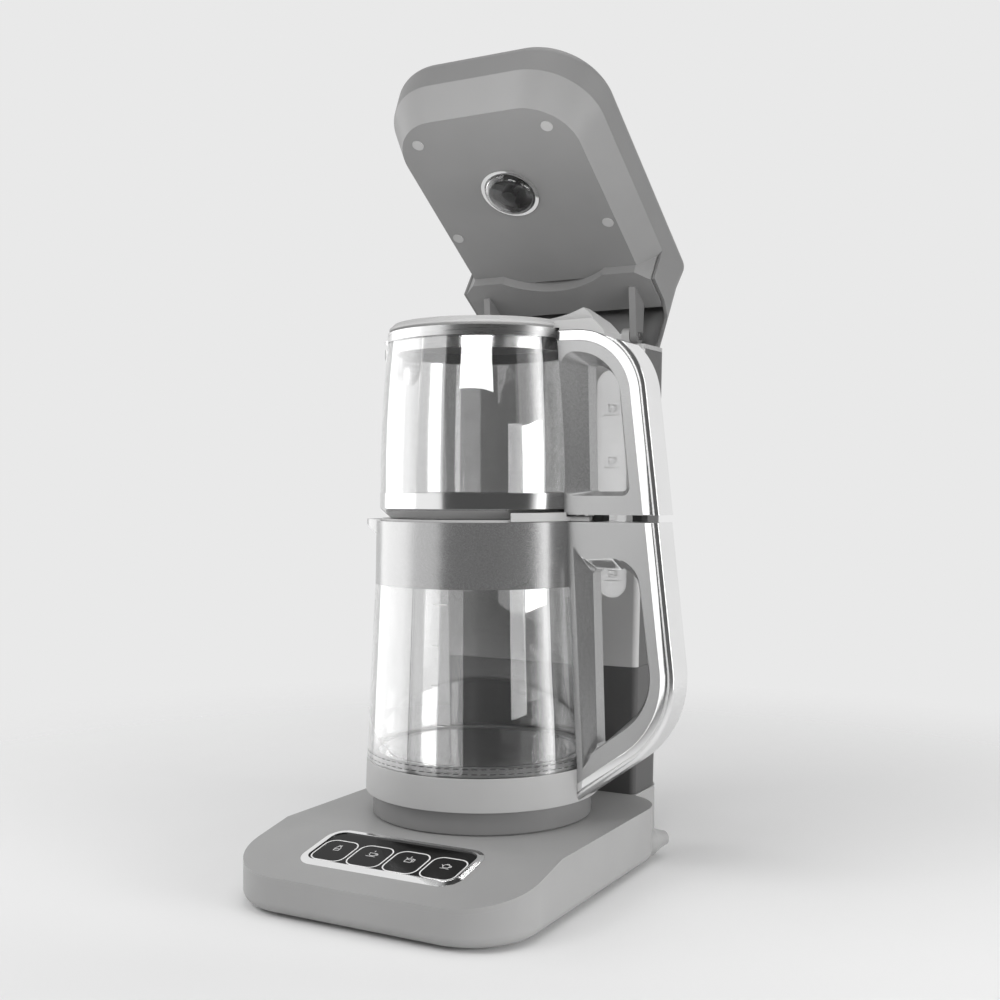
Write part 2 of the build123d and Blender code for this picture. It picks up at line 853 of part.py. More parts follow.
with BuildPart() as column_lower_cover:
    add(column_block(base_top, column_seam, 0))
    add(column_block(base_top, tank_bottom - shelf_thickness, wall), mode=Mode.SUBTRACT)
    add(column_block(tank_bottom, column_seam, wall), mode=Mode.SUBTRACT)
    with BuildSketch(Plane.XY.offset(base_top)):
        with Locations((riser_x, riser_y)):
            Circle(hose_radius + seat)
        with Locations((tank_port_x, tank_port_y)):
            Circle(tank_port_radius + seat)
    extrude(amount=tank_bottom, mode=Mode.SUBTRACT)
save(column_lower_cover.part, "column_lower_cover")

with BuildPart() as column_front_panel:
    add(column_block(column_seam, frame_plate_bottom, 0))
    add(column_block(column_seam, frame_plate_bottom, wall), mode=Mode.SUBTRACT)
    add(front_zone, mode=Mode.INTERSECT)
    with BuildSketch(Plane.XZ.offset(-column_front)):
        with Locations((-window_x, window_z), (window_x, window_z)):
            SlotOverall(window_length, window_width, rotation=90)
    extrude(amount=-column_panel_depth, mode=Mode.SUBTRACT)
save(column_front_panel.part, "column_front_panel")

with BuildPart() as column_rear_shell:
    add(column_block(column_seam, frame_plate_bottom, 0))
    add(column_block(column_seam, frame_plate_bottom, wall), mode=Mode.SUBTRACT)
    add(front_zone, mode=Mode.SUBTRACT)
save(column_rear_shell.part, "column_rear_shell")

for side, window_name in ((-1, "level_window_left"), (1, "level_window_right")):
    with BuildPart() as level_window:
        with BuildSketch(Plane.XZ.offset(-column_front - window_recess)):
            with Locations((side * window_x, window_z)):
                SlotOverall(window_length, window_width, rotation=90)
        extrude(amount=window_recess - wall)
        with BuildSketch(Plane.XZ.offset(-column_front - wall)):
            with Locations((side * window_x, window_z)):
                SlotOverall(
                    window_length + 2 * window_flange, window_width + 2 * window_flange, rotation=90
                )
        extrude(amount=-window_flange_thickness)
    save(level_window.part, window_name)

with BuildPart() as water_tank:
    with BuildSketch(Plane.XY.offset(tank_bottom)):
        with Locations((0, tank_y)):
            RectangleRounded(2 * tank_half_width, tank_depth, tank_corner)
    extrude(amount=tank_top - tank_bottom)
    with BuildSketch(Plane.XY.offset(tank_bottom + tank_wall)):
        with Locations((0, tank_y)):
            RectangleRounded(
                2 * (tank_half_width - tank_wall), tank_depth - 2 * tank_wall, tank_corner - tank_wall
            )
    extrude(amount=tank_top - tank_bottom, mode=Mode.SUBTRACT)
    with BuildSketch(Plane.XY.offset(tank_bottom + tank_wall)):
        with Locations((tank_port_x, tank_port_y)):
            Circle(tank_port_radius)
    extrude(amount=-tank_wall - tank_port_length)
    with BuildSketch(Plane.XY.offset(tank_bottom + tank_wall)):
        with Locations((tank_port_x, tank_port_y)):
            Circle(hose_bore)
    extrude(amount=-tank_wall - tank_port_length, mode=Mode.SUBTRACT)
save(water_tank.part, "water_tank")

with BuildPart() as column_top_frame:
    add(column_block(frame_plate_bottom, column_top, 0))
    with BuildSketch(Plane.XY.offset(frame_plate_bottom)):
        with Locations((0, (filler_front + filler_rear) / 2)):
            RectangleRounded(2 * filler_half_width, filler_rear - filler_front, tank_corner)
        with Locations((riser_x, riser_y)):
            Circle(hose_radius + seat)
    extrude(amount=top_frame_thickness, mode=Mode.SUBTRACT)
    # two ears carry the hinge pins
    for ear_centre in (-ear_x - ear_width / 2, ear_x + ear_width / 2):
        with BuildSketch(Plane.YZ.offset(ear_centre)):
            with Locations((hinge_y, hinge_z)):
                Circle(ear_radius)
            with Locations((hinge_y, (hinge_z + frame_plate_bottom) / 2)):
                Rectangle(2 * ear_radius, hinge_z - frame_plate_bottom)
            with Locations((hinge_y, hinge_z)):
                Circle(pin_radius, mode=Mode.SUBTRACT)
        extrude(amount=ear_width / 2, both=True)
save(column_top_frame.part, "column_top_frame")

with BuildPart() as hinge_pins:
    for side in (-1, 1):
        with BuildSketch(Plane.YZ.offset(side * (ear_x - pin_head_thickness))):
            with Locations((hinge_y, hinge_z)):
                Circle(pin_radius + pin_head_margin)
        extrude(amount=side * pin_head_thickness)
        with BuildSketch(Plane.YZ.offset(side * ear_x)):
            with Locations((hinge_y, hinge_z)):
                Circle(pin_radius)
        extrude(amount=side * (ear_width + arm_gap + arm_width + pin_overhang))
save(hinge_pins.part, "hinge_pins")

# ------------------------------------------------------------------ pump and water lines
pump_z = base_top + pump_lift + pump_radius
with BuildPart() as pump:
    with BuildSketch(Plane.YZ.offset(pump_x - pump_length / 2)):
        with Locations((pump_y, pump_z)):
            Circle(pump_radius)
    extrude(amount=pump_length)
    with BuildSketch(Plane.YZ.offset(pump_x + pump_length / 2)):
        with Locations((pump_y, pump_z)):
            Circle(hose_radius)
    extrude(amount=pump_port_length)
    with BuildSketch(Plane.XY.offset(pump_z)):
        with Locations((riser_x, pump_y)):
            Circle(hose_radius)
    extrude(amount=pump_radius + pump_port_length)
    with BuildSketch(Plane.XY.offset(base_top)):
        with Locations((pump_x, pump_y)):
            with GridLocations(pump_length - 2 * pump_foot_length, 0, 2, 1):
                Rectangle(pump_foot_length, pump_radius)
    extrude(amount=pump_radius)
save(pump.part, "pump")

with BuildPart() as inlet_hose:
    with BuildLine() as inlet_run:
        FilletPolyline(
            (pump_x + pump_length / 2 + pump_port_length, pump_y, pump_z),
            (tank_port_x, tank_port_y, pump_z),
            (tank_port_x, tank_port_y, tank_bottom - tank_port_length),
            radius=inlet_bend,
        )
    with BuildSketch(Plane(inlet_run.line @ 0, z_dir=inlet_run.line % 0)):
        Circle(hose_radius + hose_bore / 2)
        Circle(hose_bore, mode=Mode.SUBTRACT)
    sweep()
save(inlet_hose.part, "inlet_hose")

with BuildPart() as riser_tube:
    with BuildLine() as riser_run:
        FilletPolyline(
            (riser_x, pump_y, pump_z + pump_radius + pump_port_length),
            (riser_x, pump_y, riser_turn_z),
            (riser_x, riser_y, riser_turn_z + riser_y - pump_y),
            (riser_x, riser_y, hinge_z),
            (swivel_end, riser_y, hinge_z),
            radius=riser_bend,
        )
    with BuildSketch(Plane(riser_run.line @ 0, z_dir=riser_run.line % 0)):
        Circle(hose_radius)
        Circle(hose_bore, mode=Mode.SUBTRACT)
    sweep()
save(riser_tube.part, "riser_tube")

# ================================================================== head
def head_outline(height, half_width, front, rear, corners):
    """Plan of the head at one height over the hinge; corners are the front and the rear radius."""
    with BuildSketch(head_plane(height)) as outline:
        with Locations((0, (rear - front) / 2)):
            Rectangle(2 * half_width, front + rear)
        fillet(outline.vertices().group_by(Axis.Y)[0], corners[0])
        fillet(outline.vertices().group_by(Axis.Y)[-1], corners[1])
    return outline.sketch


def head_loft(low, high, low_size, high_size, rear, rear_corner):
    """A body between two of the head's outlines, each given as half width, front and corner."""
    with BuildPart() as body:
        add(head_outline(low, low_size[0], low_size[1], rear, (low_size[2], rear_corner)))
        add(head_outline(high, high_size[0], high_size[1], rear, (high_size[2], rear_corner)))
        loft()
    return body.part


def head_slab(points, half_width):
    """A block across the head with this outline, seen from the side as (backwards, up)."""
    with BuildPart() as slab:
        with BuildSketch(head_side_plane(0)):
            with BuildLine():
                Polyline(*points, close=True)
            make_face()
        extrude(amount=half_width, both=True)
    return slab.part


def shrunk(size, inset):
    """An outline's half width, front and corner, all moved inwards."""
    return tuple(value - inset for value in size)


def block_outline(height, inset):
    """Plan of the rear block: its front edge dips back in a long arc between two lips."""
    with BuildSketch(head_plane(height)) as outline:
        with BuildLine():
            Polyline(
                (wave_half_width, -block_front),
                (cheek_half_width, -block_front),
                (block_half_width, -cheek_front),
                (block_half_width, -block_rear),
                (-block_half_width, -block_rear),
                (-block_half_width, -cheek_front),
                (-cheek_half_width, -block_front),
                (-wave_half_width, -block_front),
            )
            ThreePointArc(
                (-wave_half_width, -block_front),
                (0, wave_depth - block_front),
                (wave_half_width, -block_front),
            )
        make_face()
        if inset:
            offset(amount=-inset, kind=Kind.INTERSECTION)
    return outline.sketch


def pulled(sketch, amount):
    """A flat outline of the head pulled up by this much."""
    with BuildPart() as body:
        add(sketch)
        extrude(amount=amount, dir=head_up)
    return body.part


panel_size = (panel_half_width, panel_front, panel_corner)
rim_size = (rim_half_width, rim_front, rim_corner)
edge_size = (edge_half_width, edge_front, edge_corner)

with BuildPart() as head_body:
    add(head_loft(rim_rise, crown_rise, rim_size, edge_size, head_rear, head_rear_corner))
    fillet(head_body.faces().sort_by(Axis((0, 0, 0), head_up))[-1].outer_wire().edges(), head_top_round)
with BuildPart() as head_inside:
    add(
        head_loft(
            rim_rise,
            crown_rise - head_wall,
            shrunk(rim_size, head_wall),
            shrunk(edge_size, head_wall),
            head_rear - head_wall,
            head_rear_corner - head_wall,
        )
    )
    inner_top = head_inside.faces().sort_by(Axis((0, 0, 0), head_up))[-1]
    fillet(inner_top.outer_wire().edges(), head_top_round - head_wall)
with BuildPart() as head_skirt:
    skirt_outline = head_outline(
        skirt_bottom, rim_half_width, rim_front, head_rear, (rim_corner, head_rear_corner)
    )
    add(pulled(skirt_outline, rim_rise - skirt_bottom))
    inner_outline = head_outline(
        skirt_bottom,
        rim_half_width - head_wall,
        rim_front - head_wall,
        head_rear - head_wall,
        (rim_corner - head_wall, head_rear_corner - head_wall),
    )
    add(pulled(inner_outline, rim_rise - skirt_bottom), mode=Mode.SUBTRACT)
    add(
        head_slab(
            (
                (-cheek_front, rim_rise),
                (-cheek_front, skirt_rise),
                (-skirt_step, skirt_rise),
                (head_rear / 3, skirt_knee),
                (head_rear / 2, skirt_waist),
                (skirt_inner, skirt_bottom),
                (head_rear, skirt_tail),
                (head_rear, rim_rise),
            ),
            base_half_width,
        ),
        mode=Mode.INTERSECT,
    )
with BuildPart() as head_top_cover:
    add(head_body.part)
    add(head_inside.part, mode=Mode.SUBTRACT)
    add(head_skirt.part)
save(head_top_cover.part, "head_top_cover")

with BuildPart() as head_tray:
    add(head_loft(panel_rise, rim_rise, panel_size, rim_size, -block_rear, head_wall))
    add(
        head_slab(
            (
                (-cheek_front, panel_rise),
                (-cheek_front, rim_rise),
                (head_rear, rim_rise),
                (head_rear, panel_rise),
            ),
            base_half_width,
        ),
        mode=Mode.SUBTRACT,
    )
    add(pulled(block_outline(block_bottom, 0), rim_rise - block_bottom))
    add(
        head_loft(
            panel_rise + head_wall,
            rim_rise,
            shrunk(panel_size, head_wall),
            shrunk(rim_size, head_wall),
            -cheek_front,
            head_wall,
        ),
        mode=Mode.SUBTRACT,
    )
    add(pulled(block_outline(block_bottom + head_wall, head_wall), rim_rise), mode=Mode.SUBTRACT)
    # holes for the brew dome and the screw plugs
    with BuildSketch(head_plane(panel_rise)):
        with Locations((0, -dome_back)):
            Circle(dome_radius)
        with Locations(*plug_places):
            Circle(plug_radius)
    extrude(amount=head_wall, mode=Mode.SUBTRACT)
save(head_tray.part, "head_tray")

with BuildPart() as head_screw_plugs:
    with BuildSketch(head_plane(panel_rise - plug_proud)):
        with Locations(*plug_places):
            Circle(plug_radius)
    extrude(amount=head_wall + plug_proud)
save(head_screw_plugs.part, "head_screw_plugs")

with BuildPart() as head_arms:
    for side in (-1, 1):
        with BuildSketch(head_side_plane(side * (ear_x + ear_width + arm_gap))):
            Circle(eye_radius)
            with Locations((-(arm_foot_front + arm_foot_rear) / 2, block_bottom - arm_foot_height / 2)):
                Rectangle(arm_foot_front - arm_foot_rear, arm_foot_height)
            make_hull()
            Circle(pin_radius + pin_clearance, mode=Mode.SUBTRACT)
        extrude(amount=side * arm_width)
save(head_arms.part, "head_arms")

# ------------------------------------------------------------------ brewing parts of the head
dome_centre = head_plane(panel_rise).from_local_coords((0, -dome_back, 0))
dome_plane = Plane(origin=dome_centre, x_dir=(1, 0, 0), z_dir=head_up)
dome_side = Plane(origin=dome_plane.origin, x_dir=(1, 0, 0), z_dir=-head_back)
dome_axis = Axis(dome_plane.origin, head_up)


def dome_curve(radius, depth):
    """Half the section of a shallow bowl that hangs below its rim."""
    halfway = radians(45)
    middle = (radius * cos(halfway), -depth * sin(halfway))
    return Spline((radius, 0), middle, (0, -depth), tangents=((0, -1), (-1, 0)))


with BuildPart() as brew_dome:
    with BuildSketch(dome_side):
        with BuildLine():
            dome_curve(dome_radius, dome_depth)
            dome_curve(dome_radius - dome_wall, dome_depth - dome_wall)
            Line((0, -dome_depth), (0, -dome_depth + dome_wall))
            Polyline(
                (dome_radius, 0),
                (dome_radius, head_wall),
                (dome_radius - dome_wall, head_wall),
                (dome_radius - dome_wall, 0),
            )
        make_face()
    revolve(axis=dome_axis)
save(brew_dome.part, "brew_dome")

with BuildPart() as dome_ring:
    with BuildSketch(dome_plane):
        Circle(dome_radius + dome_ring_width)
        Circle(dome_radius, mode=Mode.SUBTRACT)
    extrude(amount=-dome_ring_height)
save(dome_ring.part, "dome_ring")

with BuildPart() as brew_nozzle:
    with BuildSketch(dome_plane.offset(head_wall)):
        Circle(dome_radius + 2 * dome_ring_width)
    extrude(amount=nozzle_plate)
    with BuildSketch(dome_plane.offset(-nozzle_drop)):
        Circle(nozzle_radius)
    extrude(amount=nozzle_drop + head_wall + nozzle_plate + nozzle_neck)
    with BuildSketch(dome_plane.offset(-nozzle_drop / 2)):
        for arm_angle in (90, 210, 330):
            with PolarLocations(nozzle_arm_length / 2, 1, arm_angle):
                Rectangle(nozzle_arm_length, nozzle_arm_width)
    extrude(amount=nozzle_drop / 2 + head_wall)
save(brew_nozzle.part, "brew_nozzle")

hose_points = [
    head_side_plane(x).from_local_coords((back, up, 0))
    for x, back, up in (
        (swivel_middle, 0, hose_start_rise),
        (swivel_middle, 0, hose_run_rise),
        (swivel_middle, -hose_forward, hose_run_rise),
        (0, -dome_back, hose_run_rise),
        (0, -dome_back, panel_rise + head_wall + nozzle_plate + nozzle_neck),
    )
]
with BuildPart() as head_hose:
    with BuildLine() as hose_run:
        FilletPolyline(*hose_points, radius=hose_bend)
    with BuildSketch(Plane(hose_run.line @ 0, z_dir=hose_run.line % 0)):
        Circle(hose_radius)
        Circle(hose_bore, mode=Mode.SUBTRACT)
    sweep()
    # the collar that turns on the riser's spigot
    with BuildSketch(head_side_plane(swivel_middle - swivel_length / 2)):
        Circle(hose_start_rise + fit)
    extrude(amount=swivel_length)
    with BuildSketch(head_side_plane(swivel_middle - swivel_length / 2)):
        Circle(hose_radius + pin_clearance)
    extrude(amount=swivel_length, mode=Mode.SUBTRACT)
save(head_hose.part, "head_hose")

# ================================================================== kettle
with BuildPart() as kettle_foot_ring:
    add(
        turned(
            (
                (kettle_recess_radius, kettle_bottom),
                (foot_ring_radius, kettle_bottom),
                (foot_ring_radius, collar_bottom),
                (foot_ring_radius - wall, collar_bottom),
                (foot_ring_radius - wall, kettle_bottom + wall),
                (kettle_recess_radius + wall, kettle_bottom + wall),
                (kettle_recess_radius + wall, connector_seat),
                (connector_radius + seat, connector_seat),
                (connector_radius + seat, connector_seat - wall),
                (kettle_recess_radius, connector_seat - wall),
            )
        )
    )
    bottom_edges = kettle_foot_ring.edges().filter_by_position(Axis.Z, kettle_bottom, kettle_bottom)
    fillet(bottom_edges, foot_ring_round)
save(kettle_foot_ring.part, "kettle_foot_ring")

with BuildPart() as kettle_connector:
    add(
        turned(
            (
                (0, connector_seat + connector_flange_height),
                (connector_flange_radius, connector_seat + connector_flange_height),
                (connector_flange_radius, connector_seat),
                (connector_radius, connector_seat),
                (connector_radius, contact_top + fit),
                (post_radius + 2 * seat, contact_top + fit),
                (post_radius + 2 * seat, post_top + 2 * fit),
                (0, post_top + 2 * fit),
            )
        )
    )
save(kettle_connector.part, "kettle_connector")

with BuildPart() as kettle_lower_collar:
    add(
        turned(
            (
                (lower_collar_radius, collar_bottom),
                (lower_collar_top_radius, glass_bottom),
                (collar_shelf_radius, glass_bottom),
                (collar_shelf_radius, glass_bottom - collar_wall),
                (lower_collar_top_radius - collar_wall, glass_bottom - collar_wall),
                (lower_collar_radius - collar_wall, collar_bottom + collar_wall),
                (collar_shelf_radius, collar_bottom + collar_wall),
                (collar_shelf_radius, collar_bottom),
            )
        )
    )
save(kettle_lower_collar.part, "kettle_lower_collar")

with BuildPart() as kettle_glass:
    add(
        turned(
            (
                (kettle_glass_bottom_radius, glass_bottom),
                (kettle_glass_top_radius, upper_collar_bottom),
                (kettle_glass_top_radius - kettle_glass_wall, upper_collar_bottom),
                (kettle_glass_bottom_radius - kettle_glass_wall, glass_bottom),
            )
        )
    )
save(kettle_glass.part, "kettle_glass")

with BuildPart() as floor_gasket:
    add(
        turned(
            (
                (collar_shelf_radius, glass_bottom),
                (gasket_radius, glass_bottom),
                (gasket_radius, floor_plate_z + gasket_lip),
                (floor_plate_radius, floor_plate_z + gasket_lip),
                (floor_plate_radius, floor_plate_z),
                (collar_shelf_radius, floor_plate_z),
            )
        )
    )
save(floor_gasket.part, "floor_gasket")

with BuildPart() as kettle_floor_plate:
    add(
        turned(
            (
                (0, floor_plate_z),
                (floor_flat_radius, floor_plate_z),
                (floor_flat_radius, floor_plate_z - floor_groove),
                (collar_shelf_radius - seat, floor_plate_z - floor_groove),
                (collar_shelf_radius - seat, floor_plate_z),
                (floor_plate_radius, floor_plate_z),
                (floor_plate_radius, floor_plate_z + floor_plate_thickness),
                (collar_shelf_radius - floor_plate_thickness, floor_plate_z + floor_plate_thickness),
                (collar_shelf_radius - floor_plate_thickness, floor_plate_z),
                (floor_flat_radius + floor_plate_thickness, floor_plate_z),
                (floor_flat_radius + floor_plate_thickness, floor_plate_z + floor_plate_thickness),
                (0, floor_plate_z + floor_plate_thickness),
            )
        )
    )
save(kettle_floor_plate.part, "kettle_floor_plate")

with BuildPart() as heating_element:
    with BuildSketch(Plane.XZ):
        with Locations((element_radius, floor_plate_z - element_tube_radius)):
            Circle(element_tube_radius)
    revolve(axis=Axis.Z, revolution_arc=element_arc)
    with BuildSketch(Plane.XY.offset(floor_plate_z - element_plate_thickness)):
        Circle(element_radius + element_plate_margin)
        Circle(sensor_radius + sensor_gap, mode=Mode.SUBTRACT)
    extrude(amount=element_plate_thickness)
save(heating_element.part, "heating_element")

with BuildPart() as temperature_sensor:
    add(ring(sensor_radius, sensor_radius / 2, floor_plate_z - sensor_height, floor_plate_z))
save(temperature_sensor.part, "temperature_sensor")


def beak_plan(reach, half_width):
    """Plan of a pouring beak that comes to a round point on the -X side."""
    root_x = -reach + 2 * half_width
    shoulder_x = -reach + beak_shoulder * half_width
    shoulder_y = beak_shoulder * half_width
    with BuildSketch() as plan:
        with BuildLine():
            Spline(
                (root_x, half_width),
                (shoulder_x, shoulder_y),
                (-reach, 0),
                (shoulder_x, -shoulder_y),
                (root_x, -half_width),
                tangents=((-1, -beak_slant), (1, -beak_slant)),
            )
            Line((root_x, half_width), (root_x, -half_width))
        make_face()
    return plan.sketch


def beak(reach, half_width, root_radius, top, drop):
    """A beak under a rim: flat on top, its keel rising from the wall to the tip."""
    with BuildPart() as body:
        add(plan_block(beak_plan(reach, half_width), top - drop, top))
        keel = (
            (-reach, top),
            (-reach, top - drop * beak_lip),
            (-root_radius, top - drop),
            (0, top - drop),
            (0, top),
        )
        add(across(keel, 2 * half_width), mode=Mode.INTERSECT)
    return body.part


upper_collar_bore = turned(
    (
        (0, upper_collar_bottom - wall),
        (upper_collar_bottom_radius - collar_wall, upper_collar_bottom - wall),
        (upper_collar_top_radius - collar_wall, upper_collar_top + wall),
        (0, upper_collar_top + wall),
    )
)
with BuildPart() as kettle_upper_collar:
    add(
        turned(
            (
                (0, upper_collar_bottom),
                (upper_collar_bottom_radius, upper_collar_bottom),
                (upper_collar_top_radius, upper_collar_top),
                (0, upper_collar_top),
            )
        )
    )
    add(beak(spout_reach, spout_half_width, upper_collar_top_radius, upper_collar_top, spout_drop))
    add(
        beak(
            spout_reach - collar_wall,
            spout_half_width - collar_wall,
            upper_collar_top_radius,
            upper_collar_top + collar_wall,
            spout_drop,
        ),
        mode=Mode.SUBTRACT,
    )
    add(upper_collar_bore, mode=Mode.SUBTRACT)
    # ledge that carries the lid, open at the spout
    add(
        ring(
            upper_collar_top_radius - collar_wall / 2,
            kettle_lid_seat_radius,
            kettle_lid_bottom - collar_wall,
            kettle_lid_bottom,
        )
    )
    with BuildSketch(Plane.XY.offset(kettle_lid_bottom - collar_wall)):
        with Locations((-kettle_lid_seat_radius, 0)):
            Rectangle(collar_wall * 3, 2 * (spout_half_width - collar_wall))
    extrude(amount=collar_wall, mode=Mode.SUBTRACT)
save(kettle_upper_collar.part, "kettle_upper_collar")

# ------------------------------------------------------------------ kettle lid
with BuildPart() as kettle_lid:
    add(ring(kettle_lid_radius, kettle_lid_hole_radius, kettle_lid_bottom, kettle_lid_top))
    add(
        ring(
            kettle_lid_plug_radius,
            kettle_lid_plug_radius - kettle_lid_wall,
            kettle_lid_bottom - kettle_lid_plug_depth,
            kettle_lid_bottom,
        )
    )
    # groove for the seal
    add(
        ring(
            kettle_lid_plug_radius,
            kettle_lid_plug_radius - seal_depth,
            kettle_lid_bottom - seal_drop - seal_height,
            kettle_lid_bottom - seal_drop,
        ),
        mode=Mode.SUBTRACT,
    )
    # the lid reaches over the collar on the handle side and stands up there in a low rim
    with BuildSketch(Plane.XZ):
        with BuildLine():
            Polyline(
                (kettle_lid_radius - kettle_lid_wall, lid_wing_z),
                (lid_rim_radius, lid_wing_z),
                (lid_rim_radius, kettle_lid_top + kettle_lid_rib_height),
                (lid_rim_radius - lid_rim_thickness, kettle_lid_top + kettle_lid_rib_height),
                (lid_rim_radius - lid_rim_thickness, kettle_lid_top),
                (kettle_lid_radius - kettle_lid_wall, kettle_lid_top),
                close=True,
            )
        make_face()
    wing = revolve(axis=Axis.Z, revolution_arc=2 * kettle_lid_rib_angle, mode=Mode.PRIVATE)
    add(wing.rotate(Axis.Z, wing_turn))
    with BuildSketch(Plane.XY.offset(lid_wing_z)):
        with Locations(((lid_rim_radius - lid_rim_thickness + lid_tongue_reach) / 2, 0)):
            Rectangle(lid_tongue_reach - lid_rim_radius + lid_rim_thickness, lid_tongue_width)
    extrude(amount=lid_tongue_thickness)
    # the rim is cut down where the teapot's handle stands over it
    with BuildSketch(Plane.XY.offset(lid_wing_z + lid_tongue_thickness)):
        with Locations((lid_tongue_reach, 0)):
            Rectangle(lid_tongue_reach, 2 * (handle_half_width + 2 * fit))
    extrude(amount=kettle_lid_rib_height, mode=Mode.SUBTRACT)
    with BuildSketch(Plane.XY.offset(kettle_lid_bottom)):
        with PolarLocations(vent_ring_radius, vent_count):
            SlotOverall(vent_length, vent_width, rotation=90)
    extrude(amount=kettle_lid_thickness, mode=Mode.SUBTRACT)
save(kettle_lid.part, "kettle_lid")

with BuildPart() as kettle_lid_seal:
    add(
        ring(
            kettle_lid_seat_radius - pin_clearance,
            kettle_lid_plug_radius - seal_depth,
            kettle_lid_bottom - seal_drop - seal_height,
            kettle_lid_bottom - seal_drop,
        )
    )
save(kettle_lid_seal.part, "kettle_lid_seal")

# ================================================================== teapot
with BuildPart() as teapot_bottom_band:
    add(
        turned(
            (
                (0, teapot_bottom),
                (teapot_foot_radius, teapot_bottom),
                (band_radius - band_step, band_bottom - band_step),
                (band_radius, band_bottom),
                (band_radius, band_top),
                (band_radius - band_sheet, band_top),
                (band_radius - band_sheet, band_bottom),
                (teapot_foot_radius - band_sheet / 2, teapot_bottom + band_sheet),
                (0, teapot_bottom + band_sheet),
            )
        )
    )
save(teapot_bottom_band.part, "teapot_bottom_band")


def glass_side(inset):
    """The teapot's wall from the band to the ring: nearly straight, drawn in a little towards the top."""
    return Spline(
        (teapot_glass_bottom_radius - inset, band_top),
        (teapot_glass_middle_radius - inset, (band_top + teapot_glass_top) / 2),
        (teapot_glass_top_radius - inset, teapot_glass_top),
    )


with BuildPart() as teapot_glass:
    with BuildSketch(Plane.XZ):
        with BuildLine():
            glass_side(0)
            Polyline(
                (teapot_glass_top_radius, teapot_glass_top),
                (0, teapot_glass_top),
                (0, glass_floor),
                (teapot_foot_radius - band_sheet - fit, glass_floor),
                (glass_heel_radius, band_bottom + band_sheet),
                (glass_heel_radius, band_top),
                (teapot_glass_bottom_radius, band_top),
            )
        make_face()
    revolve(axis=Axis.Z)
    add(
        beak(
            teapot_spout_reach,
            teapot_spout_half_width,
            teapot_glass_top_radius,
            teapot_glass_top,
            teapot_spout_drop,
        )
    )
    add(
        beak(
            teapot_spout_reach - teapot_glass_wall,
            teapot_spout_half_width - teapot_glass_wall,
            teapot_glass_top_radius,
            teapot_glass_top + teapot_glass_wall,
            teapot_spout_drop,
        ),
        mode=Mode.SUBTRACT,
    )
    with BuildSketch(Plane.XZ):
        with BuildLine():
            glass_side(teapot_glass_wall)
            Polyline(
                (teapot_glass_top_radius - teapot_glass_wall, teapot_glass_top),
                (0, teapot_glass_top),
                (0, glass_floor + teapot_glass_wall),
                (teapot_foot_radius - 2 * teapot_glass_wall, glass_floor + teapot_glass_wall),
                (glass_heel_radius - teapot_glass_wall, band_top - teapot_glass_wall),
                (teapot_glass_bottom_radius - teapot_glass_wall, band_top),
            )
        make_face()
    revolve(axis=Axis.Z, mode=Mode.SUBTRACT)
save(teapot_glass.part, "teapot_glass")

with BuildPart() as teapot_top_ring:
    add(ring(teapot_ring_radius, ring_ledge_radius, teapot_glass_top, ring_top))
    add(
        beak(
            teapot_spout_reach, teapot_spout_half_width, teapot_ring_radius, ring_top, teapot_ring_height
        )
    )
    add(
        beak(
            teapot_spout_reach - teapot_glass_wall,
            teapot_spout_half_width - teapot_glass_wall,
            teapot_ring_radius,
            ring_top + teapot_ring_height,
            3 * teapot_ring_height,
        ),
        mode=Mode.SUBTRACT,
    )
    add(ring(ring_bore_radius, 0, teapot_glass_top + ring_ledge_height, ring_top), mode=Mode.SUBTRACT)
    add(ring(ring_ledge_radius, 0, teapot_glass_top, ring_top), mode=Mode.SUBTRACT)
save(teapot_top_ring.part, "teapot_top_ring")

# perforated tongue of the strainer, in front of the spout
tongue_top = teapot_glass_top - strainer_height
with BuildPart() as strainer_tongue:
    add(
        ring(
            strainer_radius,
            strainer_radius - strainer_wall,
            tongue_top - strainer_tongue_drop,
            tongue_top,
        )
    )
    with BuildSketch(Plane.YZ.offset(-strainer_radius - strainer_wall)):
        with Locations((0, tongue_top)):
            Ellipse(strainer_tongue_half_width, strainer_tongue_drop)
    extrude(amount=strainer_radius / 2, mode=Mode.INTERSECT)
    for row, holes in enumerate(strainer_rows):
        with BuildSketch(Plane.YZ.offset(-strainer_radius - strainer_wall)):
            with Locations((0, tongue_top - strainer_first_row - strainer_pitch * row)):
                with GridLocations(strainer_pitch, 0, holes, 1):
                    Circle(strainer_hole_radius)
        extrude(amount=strainer_radius / 2, mode=Mode.SUBTRACT)

with BuildPart() as teapot_strainer:
    add(
        ring(
            strainer_radius,
            strainer_radius - strainer_wall,
            teapot_glass_top - strainer_height,
            strainer_top,
        )
    )
    add(
        ring(
            ring_bore_radius - seat,
            strainer_radius - strainer_wall,
            strainer_top - strainer_wall,
            strainer_top,
        )
    )
    add(strainer_tongue.part)
save(teapot_strainer.part, "teapot_strainer")

# ================================================================== handles
def handle_plane(y=0):
    """A plane along the handles: its first axis runs out from the kettle, its second up."""
    return Plane(origin=(0, y, base_top), x_dir=(1, 0, 0), z_dir=(0, -1, 0))


def trim_region(run, bend, amount):
    """Everything inside the outer edge of a handle's trim, grown by amount."""
    with BuildSketch(handle_plane()) as region:
        with BuildLine():
            FilletPolyline(*run, radius=(bend,))
            Polyline(run[-1], (handle_inner_x, run[-1][1]), (handle_inner_x, run[0][1]), run[0])
        make_face()
        if amount:
            offset(amount=amount)
    return region.sketch


def teapot_trim_region(amount):
    """The teapot handle leaves the ring nearly level and turns down in one bend."""
    run = [(x, ring_top - base_top - drop) for x, drop in zip(teapot_trim_x, teapot_trim_drop)]
    return trim_region(run, teapot_trim_bend, amount)


